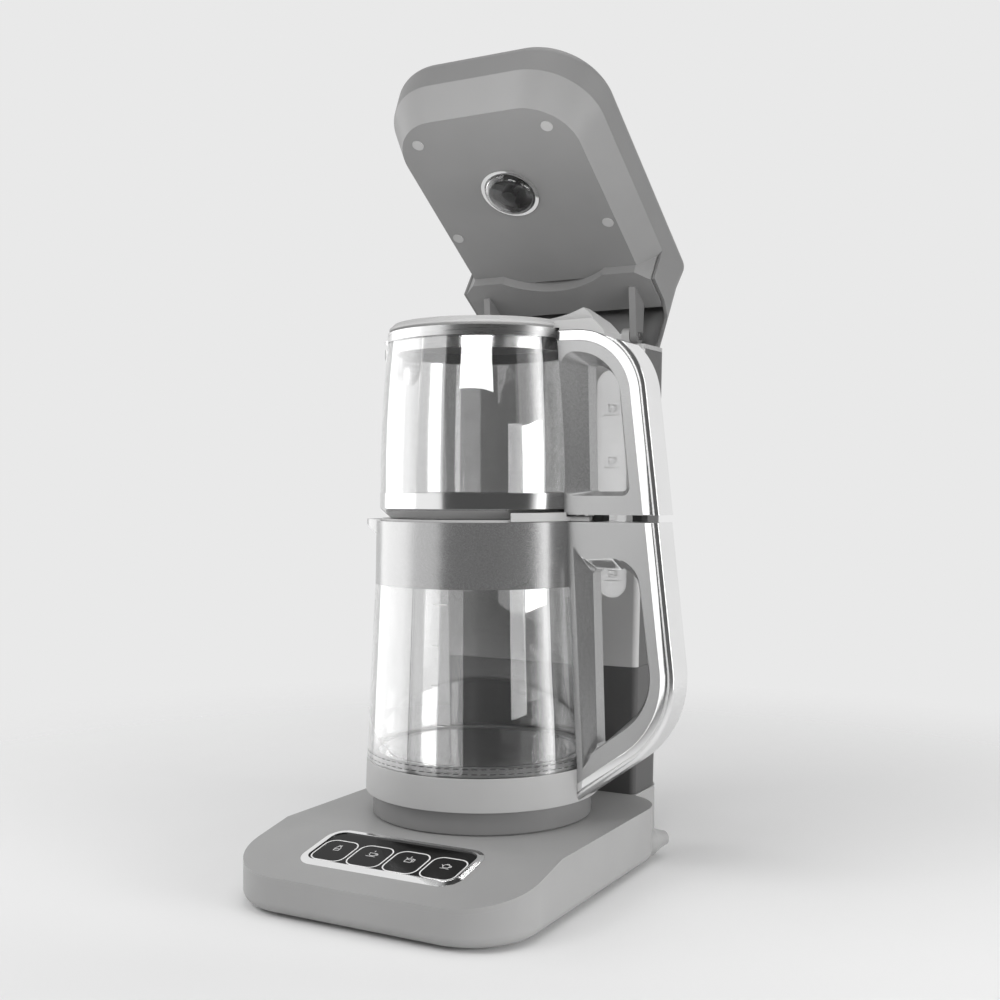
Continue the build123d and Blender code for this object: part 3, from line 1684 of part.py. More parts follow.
def kettle_trim_region(amount):
    """The kettle handle runs down and turns back to the lower collar."""
    run = list(zip(kettle_trim_x, kettle_trim_rise))
    return trim_region(run, kettle_trim_bend, amount)


def handle_slab(sketch, half_width):
    """A handle outline pulled out to both sides."""
    with BuildPart() as slab:
        add(sketch)
        extrude(amount=half_width, dir=(0, 1, 0), both=True)
    return slab.part


def finger_outline(points, rounds, y):
    """A closed outline with its own round at each corner, on a plane along the handle."""
    with BuildSketch(handle_plane(y)) as outline:
        with BuildLine():
            FilletPolyline(*points, radius=rounds, close=True)
        make_face()
    return outline.sketch


def grip_opening(rim_points, hole_points, rim_rounds, hole_rounds):
    """The hole for the fingers, dished from both sides."""
    dish_foot = handle_half_width - dish_depth
    with BuildPart() as opening:
        for side in (-1, 1):
            rim = finger_outline(rim_points, rim_rounds, side * handle_half_width)
            hole = finger_outline(hole_points, hole_rounds, side * dish_foot)
            loft(sections=(rim, hole))
        add(handle_slab(finger_outline(hole_points, hole_rounds, 0), dish_foot))
    return opening.part


def handle_back(region, clip):
    """The bright grip strip along the handle's back, standing on a narrow neck."""
    with BuildPart() as back:
        add(handle_slab(region(trim_gap + back_thickness), handle_half_width))
        fillet(back.faces().group_by(Axis.Y)[0].edges(), back_round)
        fillet(back.faces().group_by(Axis.Y)[-1].edges(), back_round)
        add(handle_slab(region(trim_gap), 2 * handle_half_width), mode=Mode.SUBTRACT)
        add(handle_slab(region(trim_gap), handle_half_width - neck_inset))
        add(handle_slab(region(0), 2 * handle_half_width), mode=Mode.SUBTRACT)
        add(clip, mode=Mode.INTERSECT)
    return back.part


# what the handles have to clear: the teapot's and the kettle's outer surfaces
with BuildPart() as teapot_body:
    add(ring(teapot_ring_radius, 0, teapot_glass_top, ring_top + base_top))
    with BuildSketch(Plane.XZ):
        with BuildLine():
            glass_side(-handle_body_gap)
            Polyline(
                (teapot_glass_top_radius + handle_body_gap, teapot_glass_top),
                (0, teapot_glass_top),
                (0, band_top),
                (teapot_glass_bottom_radius + handle_body_gap, band_top),
            )
        make_face()
    revolve(axis=Axis.Z)
    add(ring(band_radius, 0, upper_collar_top, band_top))
kettle_body = turned(
    (
        (0, base_top),
        (foot_ring_radius + handle_body_gap, base_top),
        (foot_ring_radius + handle_body_gap, collar_bottom),
        (lower_collar_radius, collar_bottom),
        (lower_collar_top_radius, glass_bottom),
        (kettle_glass_top_radius + handle_body_gap, upper_collar_bottom),
        (upper_collar_bottom_radius, upper_collar_bottom),
        (upper_collar_top_radius, upper_collar_top),
        (upper_collar_top_radius, teapot_handle_bottom),
        (0, teapot_handle_bottom),
    )
)
teapot_zone = across(
    (
        (0, teapot_handle_bottom),
        (2 * base_half_width, teapot_handle_bottom),
        (2 * base_half_width, column_top + base_top),
        (0, column_top + base_top),
    ),
    base_half_width,
)
kettle_zone = across(
    (
        (0, base_top),
        (2 * base_half_width, base_top),
        (2 * base_half_width, kettle_handle_top),
        (0, kettle_handle_top),
    ),
    base_half_width,
)
back_start_z = ring_top - back_start_drop
teapot_back_zone = across(
    (
        (back_start_x, teapot_handle_bottom),
        (base_half_width + back_start_x, teapot_handle_bottom),
        (base_half_width + back_start_x, back_start_z - base_half_width * tan(radians(back_taper_angle))),
        (back_start_x, back_start_z),
    ),
    base_half_width,
)
kettle_back_zone = across(
    (
        (kettle_back_start_x, base_top),
        (2 * base_half_width, base_top),
        (2 * base_half_width, kettle_handle_top),
        (kettle_back_start_x, kettle_handle_top),
    ),
    base_half_width,
)
teapot_opening = grip_opening(
    [(x, ring_top - base_top - drop) for x, drop in zip(teapot_rim_x, teapot_rim_drop)],
    [(x, ring_top - base_top - drop) for x, drop in zip(teapot_hole_x, teapot_hole_drop)],
    teapot_rim_rounds,
    teapot_hole_rounds,
)
kettle_opening = grip_opening(
    list(zip(kettle_rim_x, kettle_rim_rise)),
    list(zip(kettle_hole_x, kettle_hole_rise)),
    kettle_rim_rounds,
    kettle_hole_rounds,
)

with BuildPart() as teapot_handle_frame:
    add(handle_slab(teapot_trim_region(-teapot_trim_width), handle_half_width - trim_proud))
    add(teapot_zone, mode=Mode.INTERSECT)
    add(teapot_body.part, mode=Mode.SUBTRACT)
    add(teapot_opening, mode=Mode.SUBTRACT)
save(teapot_handle_frame.part, "teapot_handle_frame")

with BuildPart() as teapot_handle_trim:
    add(handle_slab(teapot_trim_region(0), handle_half_width))
    add(handle_slab(teapot_trim_region(-teapot_trim_width), 2 * handle_half_width), mode=Mode.SUBTRACT)
    add(teapot_zone, mode=Mode.INTERSECT)
    add(teapot_body.part, mode=Mode.SUBTRACT)
save(teapot_handle_trim.part, "teapot_handle_trim")

save(handle_back(teapot_trim_region, teapot_back_zone), "teapot_handle_back")

with BuildPart() as kettle_handle_frame:
    add(handle_slab(kettle_trim_region(-kettle_trim_width), handle_half_width - trim_proud))
    add(kettle_zone, mode=Mode.INTERSECT)
    add(kettle_body, mode=Mode.SUBTRACT)
    add(kettle_opening, mode=Mode.SUBTRACT)
save(kettle_handle_frame.part, "kettle_handle_frame")

with BuildPart() as kettle_handle_trim:
    add(handle_slab(kettle_trim_region(0), handle_half_width))
    add(handle_slab(kettle_trim_region(-kettle_trim_width), 2 * handle_half_width), mode=Mode.SUBTRACT)
    add(kettle_back_zone, mode=Mode.INTERSECT)
    add(kettle_body, mode=Mode.SUBTRACT)
save(kettle_handle_trim.part, "kettle_handle_trim")

with BuildPart() as kettle_handle_back:
    add(handle_back(kettle_trim_region, kettle_back_zone))
    add(kettle_body, mode=Mode.SUBTRACT)
save(kettle_handle_back.part, "kettle_handle_back")

with BuildPart() as handle_bumpers:
    with BuildSketch(Plane.XY.offset(kettle_handle_top + handle_body_gap)):
        with Locations((bumper_inner_x, 0), (bumper_outer_x, 0)):
            RectangleRounded(bumper_width, bumper_length, bumper_corner)
    extrude(amount=teapot_handle_bottom - kettle_handle_top - handle_body_gap)
save(handle_bumpers.part, "handle_bumpers")

# ================================================================== teapot lid
tab_foot_z = lid_bottom - 2 * tab_tip_drop
tab_side_z = lid_top - tab_side_drop
tab_peak_z = lid_top + tab_peak_rise
with BuildPart() as lid_tab:
    with BuildSketch(Plane.XZ):
        with BuildLine():
            Line((tab_inner_x, lid_bottom), (tab_inner_x, lid_top))
            ThreePointArc(
                (tab_inner_x, lid_top),
                ((tab_inner_x + tab_peak_x) / 2, lid_top + tab_inner_rise),
                (tab_peak_x, lid_top + tab_peak_rise),
            )
            ThreePointArc(
                (tab_peak_x, lid_top + tab_peak_rise),
                ((tab_peak_x + tab_reach) / 2, lid_top + tab_outer_rise),
                (tab_reach, lid_bottom - tab_tip_drop),
            )
            Polyline(
                (tab_reach, lid_bottom - tab_tip_drop),
                (tab_reach, lid_bottom - 2 * tab_tip_drop),
                (teapot_ring_radius + 2 * fit, lid_bottom - 2 * tab_tip_drop),
                (teapot_ring_radius + 2 * fit, lid_bottom),
                (tab_inner_x, lid_bottom),
            )
        make_face()
    extrude(amount=tab_half_width, both=True)
    with BuildSketch(Plane.YZ):
        with BuildLine():
            Polyline(
                (-tab_half_width, tab_side_z),
                (-tab_half_width, tab_foot_z),
                (tab_half_width, tab_foot_z),
                (tab_half_width, tab_side_z),
            )
            ThreePointArc(
                (tab_half_width, tab_side_z),
                (tab_mid_half_width, lid_top + tab_mid_rise),
                (tab_peak_half_width, tab_peak_z),
            )
            Line((tab_peak_half_width, tab_peak_z), (-tab_peak_half_width, tab_peak_z))
            ThreePointArc(
                (-tab_peak_half_width, tab_peak_z),
                (-tab_mid_half_width, lid_top + tab_mid_rise),
                (-tab_half_width, tab_side_z),
            )
        make_face()
    extrude(amount=2 * tab_reach, both=True, mode=Mode.INTERSECT)
    add(handle_slab(teapot_trim_region(handle_body_gap), base_half_width), mode=Mode.SUBTRACT)

with BuildPart() as teapot_lid:
    add(
        turned(
            (
                (0, lid_top),
                (teapot_lid_radius - teapot_lid_step, lid_top),
                (teapot_lid_radius - teapot_lid_step / 2, lid_top - teapot_lid_step / 2),
                (teapot_lid_radius, lid_top - teapot_lid_thickness / 2),
                (teapot_lid_radius, lid_bottom + teapot_lid_thickness / 4),
                (teapot_lid_radius - teapot_lid_step / 2, lid_bottom),
                (teapot_lid_plug_radius, lid_bottom),
                (teapot_lid_plug_radius, lid_bottom - teapot_lid_plug_depth),
                (teapot_lid_plug_radius - teapot_lid_wall, lid_bottom - teapot_lid_plug_depth),
                (teapot_lid_plug_radius - teapot_lid_wall, lid_top - teapot_lid_wall),
                (0, lid_top - teapot_lid_wall),
            )
        )
    )
    add(lid_tab.part)
    # groove for the seal
    add(
        ring(
            teapot_lid_plug_radius,
            teapot_lid_plug_radius - seal_depth,
            lid_bottom - seal_drop - seal_height,
            lid_bottom - seal_drop,
        ),
        mode=Mode.SUBTRACT,
    )
    # the brewing water drips in through holes under the dome
    with BuildSketch(Plane.XY.offset(lid_bottom)):
        with Locations((0, 0)):
            Circle(drip_hole_radius)
        with PolarLocations(drip_ring_radius, drip_count):
            Circle(drip_hole_radius)
    extrude(amount=2 * teapot_lid_thickness, mode=Mode.SUBTRACT)
save(teapot_lid.part, "teapot_lid")

with BuildPart() as teapot_lid_seal:
    add(
        ring(
            strainer_radius - strainer_wall - pin_clearance,
            teapot_lid_plug_radius - seal_depth,
            lid_bottom - seal_drop - seal_height,
            lid_bottom - seal_drop,
        )
    )
save(teapot_lid_seal.part, "teapot_lid_seal")
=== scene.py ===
"""Automatic tea maker: looks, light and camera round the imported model. Metres, +Z up."""
import json
from math import cos, pi, radians, sin, tan

import bmesh
import bpy
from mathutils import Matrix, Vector


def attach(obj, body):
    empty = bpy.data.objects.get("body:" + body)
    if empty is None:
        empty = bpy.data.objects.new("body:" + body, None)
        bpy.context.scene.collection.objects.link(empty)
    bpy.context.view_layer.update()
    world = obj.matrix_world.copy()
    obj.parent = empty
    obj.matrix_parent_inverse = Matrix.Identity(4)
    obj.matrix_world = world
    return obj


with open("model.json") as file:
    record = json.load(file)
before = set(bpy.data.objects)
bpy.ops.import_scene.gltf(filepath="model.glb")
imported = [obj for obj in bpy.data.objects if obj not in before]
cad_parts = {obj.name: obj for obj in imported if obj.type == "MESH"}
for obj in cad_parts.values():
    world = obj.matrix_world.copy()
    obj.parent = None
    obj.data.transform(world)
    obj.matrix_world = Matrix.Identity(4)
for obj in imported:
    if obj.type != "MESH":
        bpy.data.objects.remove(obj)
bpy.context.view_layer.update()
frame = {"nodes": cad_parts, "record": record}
nodes = frame["nodes"]
MM = 0.001

# ------------------------------------------------------------------ node helpers
NOISE_LOW, NOISE_HIGH = 0.3, 0.7    # most of a noise's values lie between these
GRAIN_SCALE = 2600.0        # moulded grain, per metre
GRAIN_DEPTH = 0.00006       # metres
MOTTLE_SCALE = 22.0         # slow change of tone over a housing
MARK_DEPTH = 0.00003        # drawn, turned or flaked marks on metal and silver paint
MARK_SPREAD = 0.2           # how far the marks change a metal's roughness, as a share
SHEEN_SPREAD = 0.03         # the same on plastic and paint, in roughness
TURNING_SCALE = 2600.0      # rings per metre of radius
TURNING_RELIEF = 0.5
TURNED_MOTTLE = 0.05
PLASTIC_IOR = 1.47


def new_material(name):
    """An empty node material with its output, ready for a shader."""
    made = bpy.data.materials.new(name)
    made.use_nodes = True
    made.node_tree.nodes.clear()
    out = made.node_tree.nodes.new("ShaderNodeOutputMaterial")
    return made, made.node_tree, out


def node(tree, kind, **values):
    """A node with its properties or named inputs set."""
    made = tree.nodes.new(kind)
    for key, value in values.items():
        if hasattr(made, key):
            setattr(made, key, value)
        else:
            made.inputs[key.replace("_", " ")].default_value = value
    return made


def place(tree, stretch=(1.0, 1.0, 1.0)):
    """Coordinates that stay with the piece, stretched along the axes."""
    spot = node(tree, "ShaderNodeTexCoord")
    mapping = node(tree, "ShaderNodeMapping")
    mapping.inputs["Scale"].default_value = stretch
    tree.links.new(spot.outputs["Object"], mapping.inputs["Vector"])
    return mapping.outputs["Vector"]


def noise(tree, vector, scale, detail=2.0):
    """Plain noise, 0 to 1."""
    made = node(tree, "ShaderNodeTexNoise", Scale=scale, Detail=detail)
    tree.links.new(vector, made.inputs["Vector"])
    return made.outputs["Fac"]


def between(tree, value, low, high):
    """A value spread from low to high."""
    made = node(
        tree, "ShaderNodeMapRange", From_Min=NOISE_LOW, From_Max=NOISE_HIGH, To_Min=low, To_Max=high
    )
    tree.links.new(value, made.inputs["Value"])
    return made.outputs["Result"]


def tones(tree, value, dark, light):
    """A colour between two greys."""
    made = node(tree, "ShaderNodeValToRGB")
    made.color_ramp.elements[0].position = NOISE_LOW
    made.color_ramp.elements[0].color = (*dark, 1)
    made.color_ramp.elements[1].position = NOISE_HIGH
    made.color_ramp.elements[1].color = (*light, 1)
    tree.links.new(value, made.inputs["Fac"])
    return made.outputs["Color"]


def bumped(tree, height, distance, strength, shader):
    """Fine relief under a shader."""
    made = node(tree, "ShaderNodeBump", Distance=distance, Strength=strength)
    tree.links.new(height, made.inputs["Height"])
    tree.links.new(made.outputs["Normal"], shader.inputs["Normal"])


def grey(level, warm=0.0):
    """A neutral colour, or one that is a little warm."""
    return (level * (1 + warm), level, level * (1 - warm))


def moulded(name, level, roughness, relief=0.35, mottle=0.03, warm=0.004, gloss=0.5):
    """Painted or moulded plastic: fine grain, a slow change of tone and of gloss."""
    made, tree, out = new_material(name)
    shader = node(tree, "ShaderNodeBsdfPrincipled", Metallic=0.0, IOR=PLASTIC_IOR)
    shader.inputs["Specular IOR Level"].default_value = gloss
    spot = place(tree)
    slow = noise(tree, spot, MOTTLE_SCALE, 3.0)
    fine = noise(tree, spot, GRAIN_SCALE, 2.0)
    colour = tones(tree, slow, grey(level * (1 - mottle), warm), grey(level * (1 + mottle), warm))
    tree.links.new(colour, shader.inputs["Base Color"])
    sheen = between(tree, fine, roughness - SHEEN_SPREAD, roughness + SHEEN_SPREAD)
    tree.links.new(sheen, shader.inputs["Roughness"])
    bumped(tree, fine, GRAIN_DEPTH, relief, shader)
    tree.links.new(shader.outputs["BSDF"], out.inputs["Surface"])
    return made


def metal(name, level, roughness, stretch, scale, relief, mottle=0.03):
    """Metal with drawn or polished marks along one way."""
    made, tree, out = new_material(name)
    shader = node(tree, "ShaderNodeBsdfPrincipled", Metallic=1.0)
    marks = noise(tree, place(tree, stretch), scale, 3.0)
    slow = noise(tree, place(tree), MOTTLE_SCALE, 2.0)
    colour = tones(tree, slow, grey(level * (1 - mottle)), grey(min(level * (1 + mottle), 1.0)))
    tree.links.new(colour, shader.inputs["Base Color"])
    gloss = between(tree, marks, roughness * (1 - MARK_SPREAD), roughness * (1 + MARK_SPREAD))
    tree.links.new(gloss, shader.inputs["Roughness"])
    bumped(tree, marks, MARK_DEPTH, relief, shader)
    tree.links.new(shader.outputs["BSDF"], out.inputs["Surface"])
    return made


def turned_metal(name, level, roughness):
    """Metal with fine concentric turning marks about the kettle's axis."""
    made, tree, out = new_material(name)
    shader = node(tree, "ShaderNodeBsdfPrincipled", Metallic=1.0)
    flat = node(tree, "ShaderNodeVectorMath", operation="MULTIPLY")
    flat.inputs[1].default_value = (1, 1, 0)
    tree.links.new(place(tree), flat.inputs[0])
    radius = node(tree, "ShaderNodeVectorMath", operation="LENGTH")
    tree.links.new(flat.outputs["Vector"], radius.inputs[0])
    rings = node(tree, "ShaderNodeTexNoise", noise_dimensions="1D", Scale=TURNING_SCALE, Detail=2.0)
    tree.links.new(radius.outputs["Value"], rings.inputs["W"])
    slow = noise(tree, place(tree), MOTTLE_SCALE, 2.0)
    colour = tones(tree, slow, grey(level * (1 - TURNED_MOTTLE)), grey(level))
    tree.links.new(colour, shader.inputs["Base Color"])
    gloss = between(
        tree, rings.outputs["Fac"], roughness * (1 - MARK_SPREAD), roughness * (1 + MARK_SPREAD)
    )
    tree.links.new(gloss, shader.inputs["Roughness"])
    bumped(tree, rings.outputs["Fac"], MARK_DEPTH, TURNING_RELIEF, shader)
    tree.links.new(shader.outputs["BSDF"], out.inputs["Surface"])
    return made


COAT_IOR = 2.0              # bright edges and reflections on glass
UNEVEN_SCALE = 9.0          # slow waves in a clear wall, per metre
UNEVEN_DEPTH = 0.0004       # metres
CLEAR_TINT = 0.985          # the deeper of a clear piece's two tones, as a share


def clear(name, level, roughness, ior, wave=0.006, through=1.0, gloss=0.5, coat=0.0, painted_glow=0.0):
    """Glass or clear plastic with a faint unevenness of the surface, and an optional painted glow that
    stands in for light shining through it.
    """
    made, tree, out = new_material(name)
    shader = node(tree, "ShaderNodeBsdfPrincipled", Roughness=roughness, IOR=ior)
    shader.inputs["Transmission Weight"].default_value = through
    shader.inputs["Specular IOR Level"].default_value = gloss
    shader.inputs["Coat Weight"].default_value = coat
    shader.inputs["Coat Roughness"].default_value = 0.0
    shader.inputs["Emission Color"].default_value = (*grey(1.0), 1)
    shader.inputs["Emission Strength"].default_value = painted_glow
    shader.inputs["Coat IOR"].default_value = COAT_IOR
    spot = place(tree)
    slow = noise(tree, spot, UNEVEN_SCALE, 1.0)
    colour = tones(tree, slow, grey(level * CLEAR_TINT), grey(level))
    tree.links.new(colour, shader.inputs["Base Color"])
    bumped(tree, slow, UNEVEN_DEPTH, wave, shader)
    tree.links.new(shader.outputs["BSDF"], out.inputs["Surface"])
    return made


PAINT_MOTTLE = 0.03
LACQUER_WEIGHT = 0.25
LACQUER_ROUGHNESS = 0.12


def painted(name, level, roughness, metallic, relief=0.12):
    """Silver paint on plastic: partly metallic, with a very fine flake."""
    made, tree, out = new_material(name)
    shader = node(tree, "ShaderNodeBsdfPrincipled", Metallic=metallic)
    shader.inputs["Coat Weight"].default_value = LACQUER_WEIGHT
    shader.inputs["Coat Roughness"].default_value = LACQUER_ROUGHNESS
    spot = place(tree)
    slow = noise(tree, spot, MOTTLE_SCALE, 2.0)
    flake = noise(tree, spot, 2.0 * GRAIN_SCALE, 1.0)
    colour = tones(tree, slow, grey(level * (1 - PAINT_MOTTLE)), grey(level * (1 + PAINT_MOTTLE)))
    tree.links.new(colour, shader.inputs["Base Color"])
    sheen = between(tree, flake, roughness - SHEEN_SPREAD, roughness + SHEEN_SPREAD)
    tree.links.new(sheen, shader.inputs["Roughness"])
    bumped(tree, flake, MARK_DEPTH, relief, shader)
    tree.links.new(shader.outputs["BSDF"], out.inputs["Surface"])
    return made


materials = {
    "silver_paint": painted("silver_paint", 0.42, 0.28, 0.75),
    "collar_silver": painted("collar_silver", 0.35, 0.26, 0.80),
    "print": moulded("print", 0.80, 0.5, relief=0.1),
    "faint_print": moulded("faint_print", 0.62, 0.5, relief=0.1),
    "grey_plastic": moulded("grey_plastic", 0.31, 0.46),
    "head_grey": moulded("head_grey", 0.155, 0.42),
    "tray_grey": moulded("tray_grey", 0.20, 0.42),
    # painted shade: a far darker copy of the grey plastic for the column's rear shell and lower cover,
    # standing in for the shade behind the kettle
    "shaded_column_grey": moulded("shaded_column_grey", 0.065, 0.44),
    # painted light: a lighter copy of the grey plastic for the column's front panel, standing in for the
    # light that falls on it
    "lit_panel_grey": moulded("lit_panel_grey", 0.42, 0.42),
    "light_plastic": moulded("light_plastic", 0.35, 0.36, relief=0.15),
    "dark_plastic": moulded("dark_plastic", 0.165, 0.24, relief=0.12),
    "black_fascia": moulded("black_fascia", 0.006, 0.12, relief=0.02, mottle=0.1, gloss=0.12),
    "bright_chrome": metal("bright_chrome", 0.90, 0.05, (1, 1, 1), 40.0, 0.02),
    "satin_chrome": metal("satin_chrome", 0.90, 0.20, (1, 1, 0.04), 1400.0, 0.15),
    "ring_metal": metal("ring_metal", 0.55, 0.30, (0.04, 0.04, 1), 1400.0, 0.15),
    "steel": turned_metal("steel", 0.66, 0.15),
    "clear_glass": clear("clear_glass", 0.75, 0.0, 1.46, gloss=1.0, coat=1.0),
    # painted light: the level windows glow a little, standing in for light that shines through them from
    # behind
    "window": clear("window", 0.94, 0.20, 1.46, through=0.45, painted_glow=0.12),
    "clear_dome": clear("clear_dome", 0.93, 0.02, 1.49, gloss=0.8),
    "tank_plastic": clear("tank_plastic", 0.88, 0.40, 1.46, through=0.35),
    "rubber": moulded("rubber", 0.03, 0.7, relief=0.6),
    "silicone": moulded("silicone", 0.42, 0.45, relief=0.2),
    "board": moulded("board", 0.05, 0.5, warm=-0.5),
    "copper": metal("copper", 0.60, 0.25, (1, 1, 1), 300.0, 0.2),
    "screw_steel": metal("screw_steel", 0.55, 0.3, (1, 1, 1), 900.0, 0.3),
    "black_part": moulded("black_part", 0.02, 0.5),
}
slots_of = {row["node"]: row["material_slot"] for row in frame["record"]["subparts"]}


def dress(target, slot_name):
    """One material on a piece."""
    target.data.materials.clear()
    target.data.materials.append(materials[slot_name])


for name, target in nodes.items():
    dress(target, slots_of[name])
for name, material_name in (
    ("kettle_handle_frame", "silver_paint"),
    ("teapot_handle_frame", "silver_paint"),
    ("kettle_upper_collar", "collar_silver"),
    ("teapot_top_ring", "ring_metal"),
    ("head_top_cover", "head_grey"),
    ("head_tray", "tray_grey"),
    ("head_arms", "dark_plastic"),
    # painted shade: the column's rear shell and lower cover take the darkened grey
    ("column_rear_shell", "shaded_column_grey"),
    # painted light: the column's front panel takes the lightened grey
    ("column_front_panel", "lit_panel_grey"),
    ("column_lower_cover", "shaded_column_grey"),
):
    dress(nodes[name], material_name)


# ------------------------------------------------------------------ edges of the mouldings
WELD_REACH = 0.005          # millimetres
SHARP_ANGLE = 34.0          # degrees
NORMAL_WEIGHT = 60


def soften(name, width):
    """Small rounds on a CAD node's sharp edges."""
    target = nodes[name]
    weld = target.modifiers.new("weld", "WELD")
    weld.merge_threshold = WELD_REACH * MM
    bevel = target.modifiers.new("bevel", "BEVEL")
    bevel.width = width * MM
    bevel.segments = 2
    bevel.limit_method = "ANGLE"
    bevel.angle_limit = radians(SHARP_ANGLE)
    bevel.use_clamp_overlap = True
    smooth = target.modifiers.new("normals", "WEIGHTED_NORMAL")
    smooth.mode = "FACE_AREA"
    smooth.weight = NORMAL_WEIGHT
    smooth.keep_sharp = False


for name, width in (
    ("base_top_cover", 0.8),
    ("base_lower_shell", 0.8),
    ("column_front_panel", 0.4),
    ("column_rear_shell", 0.4),
    ("column_lower_cover", 0.4),
    ("column_top_frame", 0.4),
    ("head_top_cover", 0.5),
    ("head_tray", 0.7),
    ("kettle_foot_ring", 0.4),
    ("kettle_lower_collar", 0.5),
    ("kettle_upper_collar", 0.5),
    ("kettle_lid", 0.4),
    ("teapot_lid", 0.5),
    ("kettle_handle_frame", 0.7),
    ("teapot_handle_frame", 0.7),
    ("kettle_handle_trim", 0.4),
    ("teapot_handle_trim", 0.4),
    ("teapot_top_ring", 0.3),
    ("teapot_bottom_band", 0.3),
    ("panel_frame", 0.15),
):
    soften(name, width)

# ------------------------------------------------------------------ printed lines
PRINT_HEIGHT = 0.03         # millimetres, as all sizes in this part
BASE_TOP = 38.0
SLOPE_START = -80.0         # the base's top face slopes down from here to the front
SLOPE = radians(11.4)
PANEL_Y = -107.8            # the middle of the key panel
WINDOW_FACE = 79.6          # where the level windows' faces lie, along Y
GLASS_FOOT = 73.5           # the kettle's glass: the level of its foot, its height and radii
GLASS_HEIGHT = 112.5
GLASS_FOOT_RADIUS = 75.2
GLASS_TAPER = 5.2
GLASS_RADIUS = 73.0         # its mean radius
PRINT_DIRECTION = radians(-61.3)    # from +X to the side of the kettle that has the marks


def panel_spot(u, v, height):
    """A point over the key panel: u to the right, v up the slope, height over its face."""
    middle = BASE_TOP - (SLOPE_START - PANEL_Y) * tan(SLOPE)
    y = PANEL_Y + v * cos(SLOPE) - height * sin(SLOPE)
    z = middle + v * sin(SLOPE) + height * cos(SLOPE)
    return Vector((u, y, z)) * MM


def window_spot(x, z, height):
    """A point over the level windows' faces."""
    return Vector((x, WINDOW_FACE - height, z)) * MM


def kettle_spot(along, z, height):
    """A point on the kettle's glass: a distance round it from the side with the marks, and a level."""
    radius = GLASS_FOOT_RADIUS - (z - GLASS_FOOT) / GLASS_HEIGHT * GLASS_TAPER + height
    turn = PRINT_DIRECTION + along / GLASS_RADIUS
    return Vector((radius * cos(turn), radius * sin(turn), z)) * MM


MITRE_LIMIT = 0.5           # keeps sharp corners of a line short


def mitred(points, closed, half):
    """Points to the left and right of a line, at this distance from it."""
    pairs = []
    count = len(points)
    for k in range(count):
        here = Vector(points[k])
        before = Vector(points[k - 1]) if closed or k else None
        after = Vector(points[(k + 1) % count]) if closed or k < count - 1 else None
        first = (here - before).normalized() if before is not None else (after - here).normalized()
        second = (after - here).normalized() if after is not None else first
        way = (first + second).normalized()
        side = Vector((-way.y, way.x))
        reach = half / max(side.dot(Vector((-first.y, first.x))), MITRE_LIMIT)
        pairs.append((here + side * reach, here - side * reach))
    return pairs


def printed(name, strokes, width, spot, body, material_name, subdivide=0.0):
    """Thin raised lines on a surface. A stroke is (points, closed); spot turns a point into a place."""
    shape = bmesh.new()
    for points, closed in strokes:
        if subdivide:
            points = finer(points, closed, subdivide)
        rows = []
        for left, right in mitred(points, closed, width / 2):
            ring = ((left, PRINT_HEIGHT), (right, PRINT_HEIGHT), (right, 0.0), (left, 0.0))
            rows.append([shape.verts.new(spot(*side, height)) for side, height in ring])
        count = len(rows)
        for k in range(count if closed else count - 1):
            here, there = rows[k], rows[(k + 1) % count]
            for m in range(4):
                shape.faces.new((here[m], here[(m + 1) % 4], there[(m + 1) % 4], there[m]))
        if not closed:
            shape.faces.new(rows[0])
            shape.faces.new(rows[-1][::-1])
    bmesh.ops.recalc_face_normals(shape, faces=shape.faces)
    mesh = bpy.data.meshes.new(name)
    shape.to_mesh(mesh)
    shape.free()
    made = bpy.data.objects.new(name, mesh)
    bpy.context.scene.collection.objects.link(made)
    mesh.materials.append(materials[material_name])
    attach(made, body)


def finer(points, closed, step):
    """The same line with points no further apart than step."""
    fine = []
    count = len(points)
    for k in range(count if closed else count - 1):
        start, end = Vector(points[k]), Vector(points[(k + 1) % count])
        parts = max(1, int((end - start).length / step))
        fine.extend(start.lerp(end, m / parts) for m in range(parts))
    if not closed:
        fine.append(Vector(points[-1]))
    return fine


def rounded_box(centre, width, height, corner, steps=7):
    """Points round a rectangle with round corners."""
    points = []
    for quarter, (sx, sy) in enumerate(((1, 1), (-1, 1), (-1, -1), (1, -1))):
        for k in range(steps + 1):
            turn = (quarter + k / steps) * pi / 2
            x = centre[0] + sx * (width / 2 - corner) + corner * cos(turn)
            y = centre[1] + sy * (height / 2 - corner) + corner * sin(turn)
            points.append((x, y))
    return points


def moved(strokes, centre, factor=1.0):
    """Strokes set round a centre."""
    return [
        ([(centre[0] + factor * x, centre[1] + factor * y) for x, y in points], closed)
        for points, closed in strokes
    ]


STEAM = [([(-0.5, 2.2), (-0.1, 2.7), (-0.5, 3.2), (-0.1, 3.7)], False)]
BOTTLE = [
    (
        [(-1.6, -2.4), (1.6, -2.4), (1.6, 0.6), (0.8, 1.5)]
        + [(0.8, 2.3), (-0.8, 2.3), (-0.8, 1.5), (-1.6, 0.6)],
        True,
    ),
    ([(-1.1, 3.0), (1.1, 3.0)], False),
    ([(-1.6, -0.7), (1.6, -0.7)], False),
]
CUP = [
    ([(-2.2, 0.9), (-1.9, -0.8), (-0.9, -1.8), (0.9, -1.8), (1.9, -0.8), (2.2, 0.9)], True),
    ([(2.15, 0.4), (3.1, 0.2), (2.9, -0.8), (1.85, -0.9)], False),
    ([(-2.9, -2.7), (2.9, -2.7)], False),
] + STEAM
JUG = [
    ([(-1.9, -2.4), (1.9, -2.4), (1.9, 1.5), (-1.9, 1.5)], True),
    ([(-1.9, 1.5), (-2.7, 2.1)], False),
    ([(1.9, 1.1), (3.1, 1.1), (3.1, -1.5), (1.9, -1.5)], False),
    ([(-1.9, 0.1), (-0.9, 0.5), (0.0, 0.1), (0.9, 0.5), (1.9, 0.1)], False),
] + STEAM
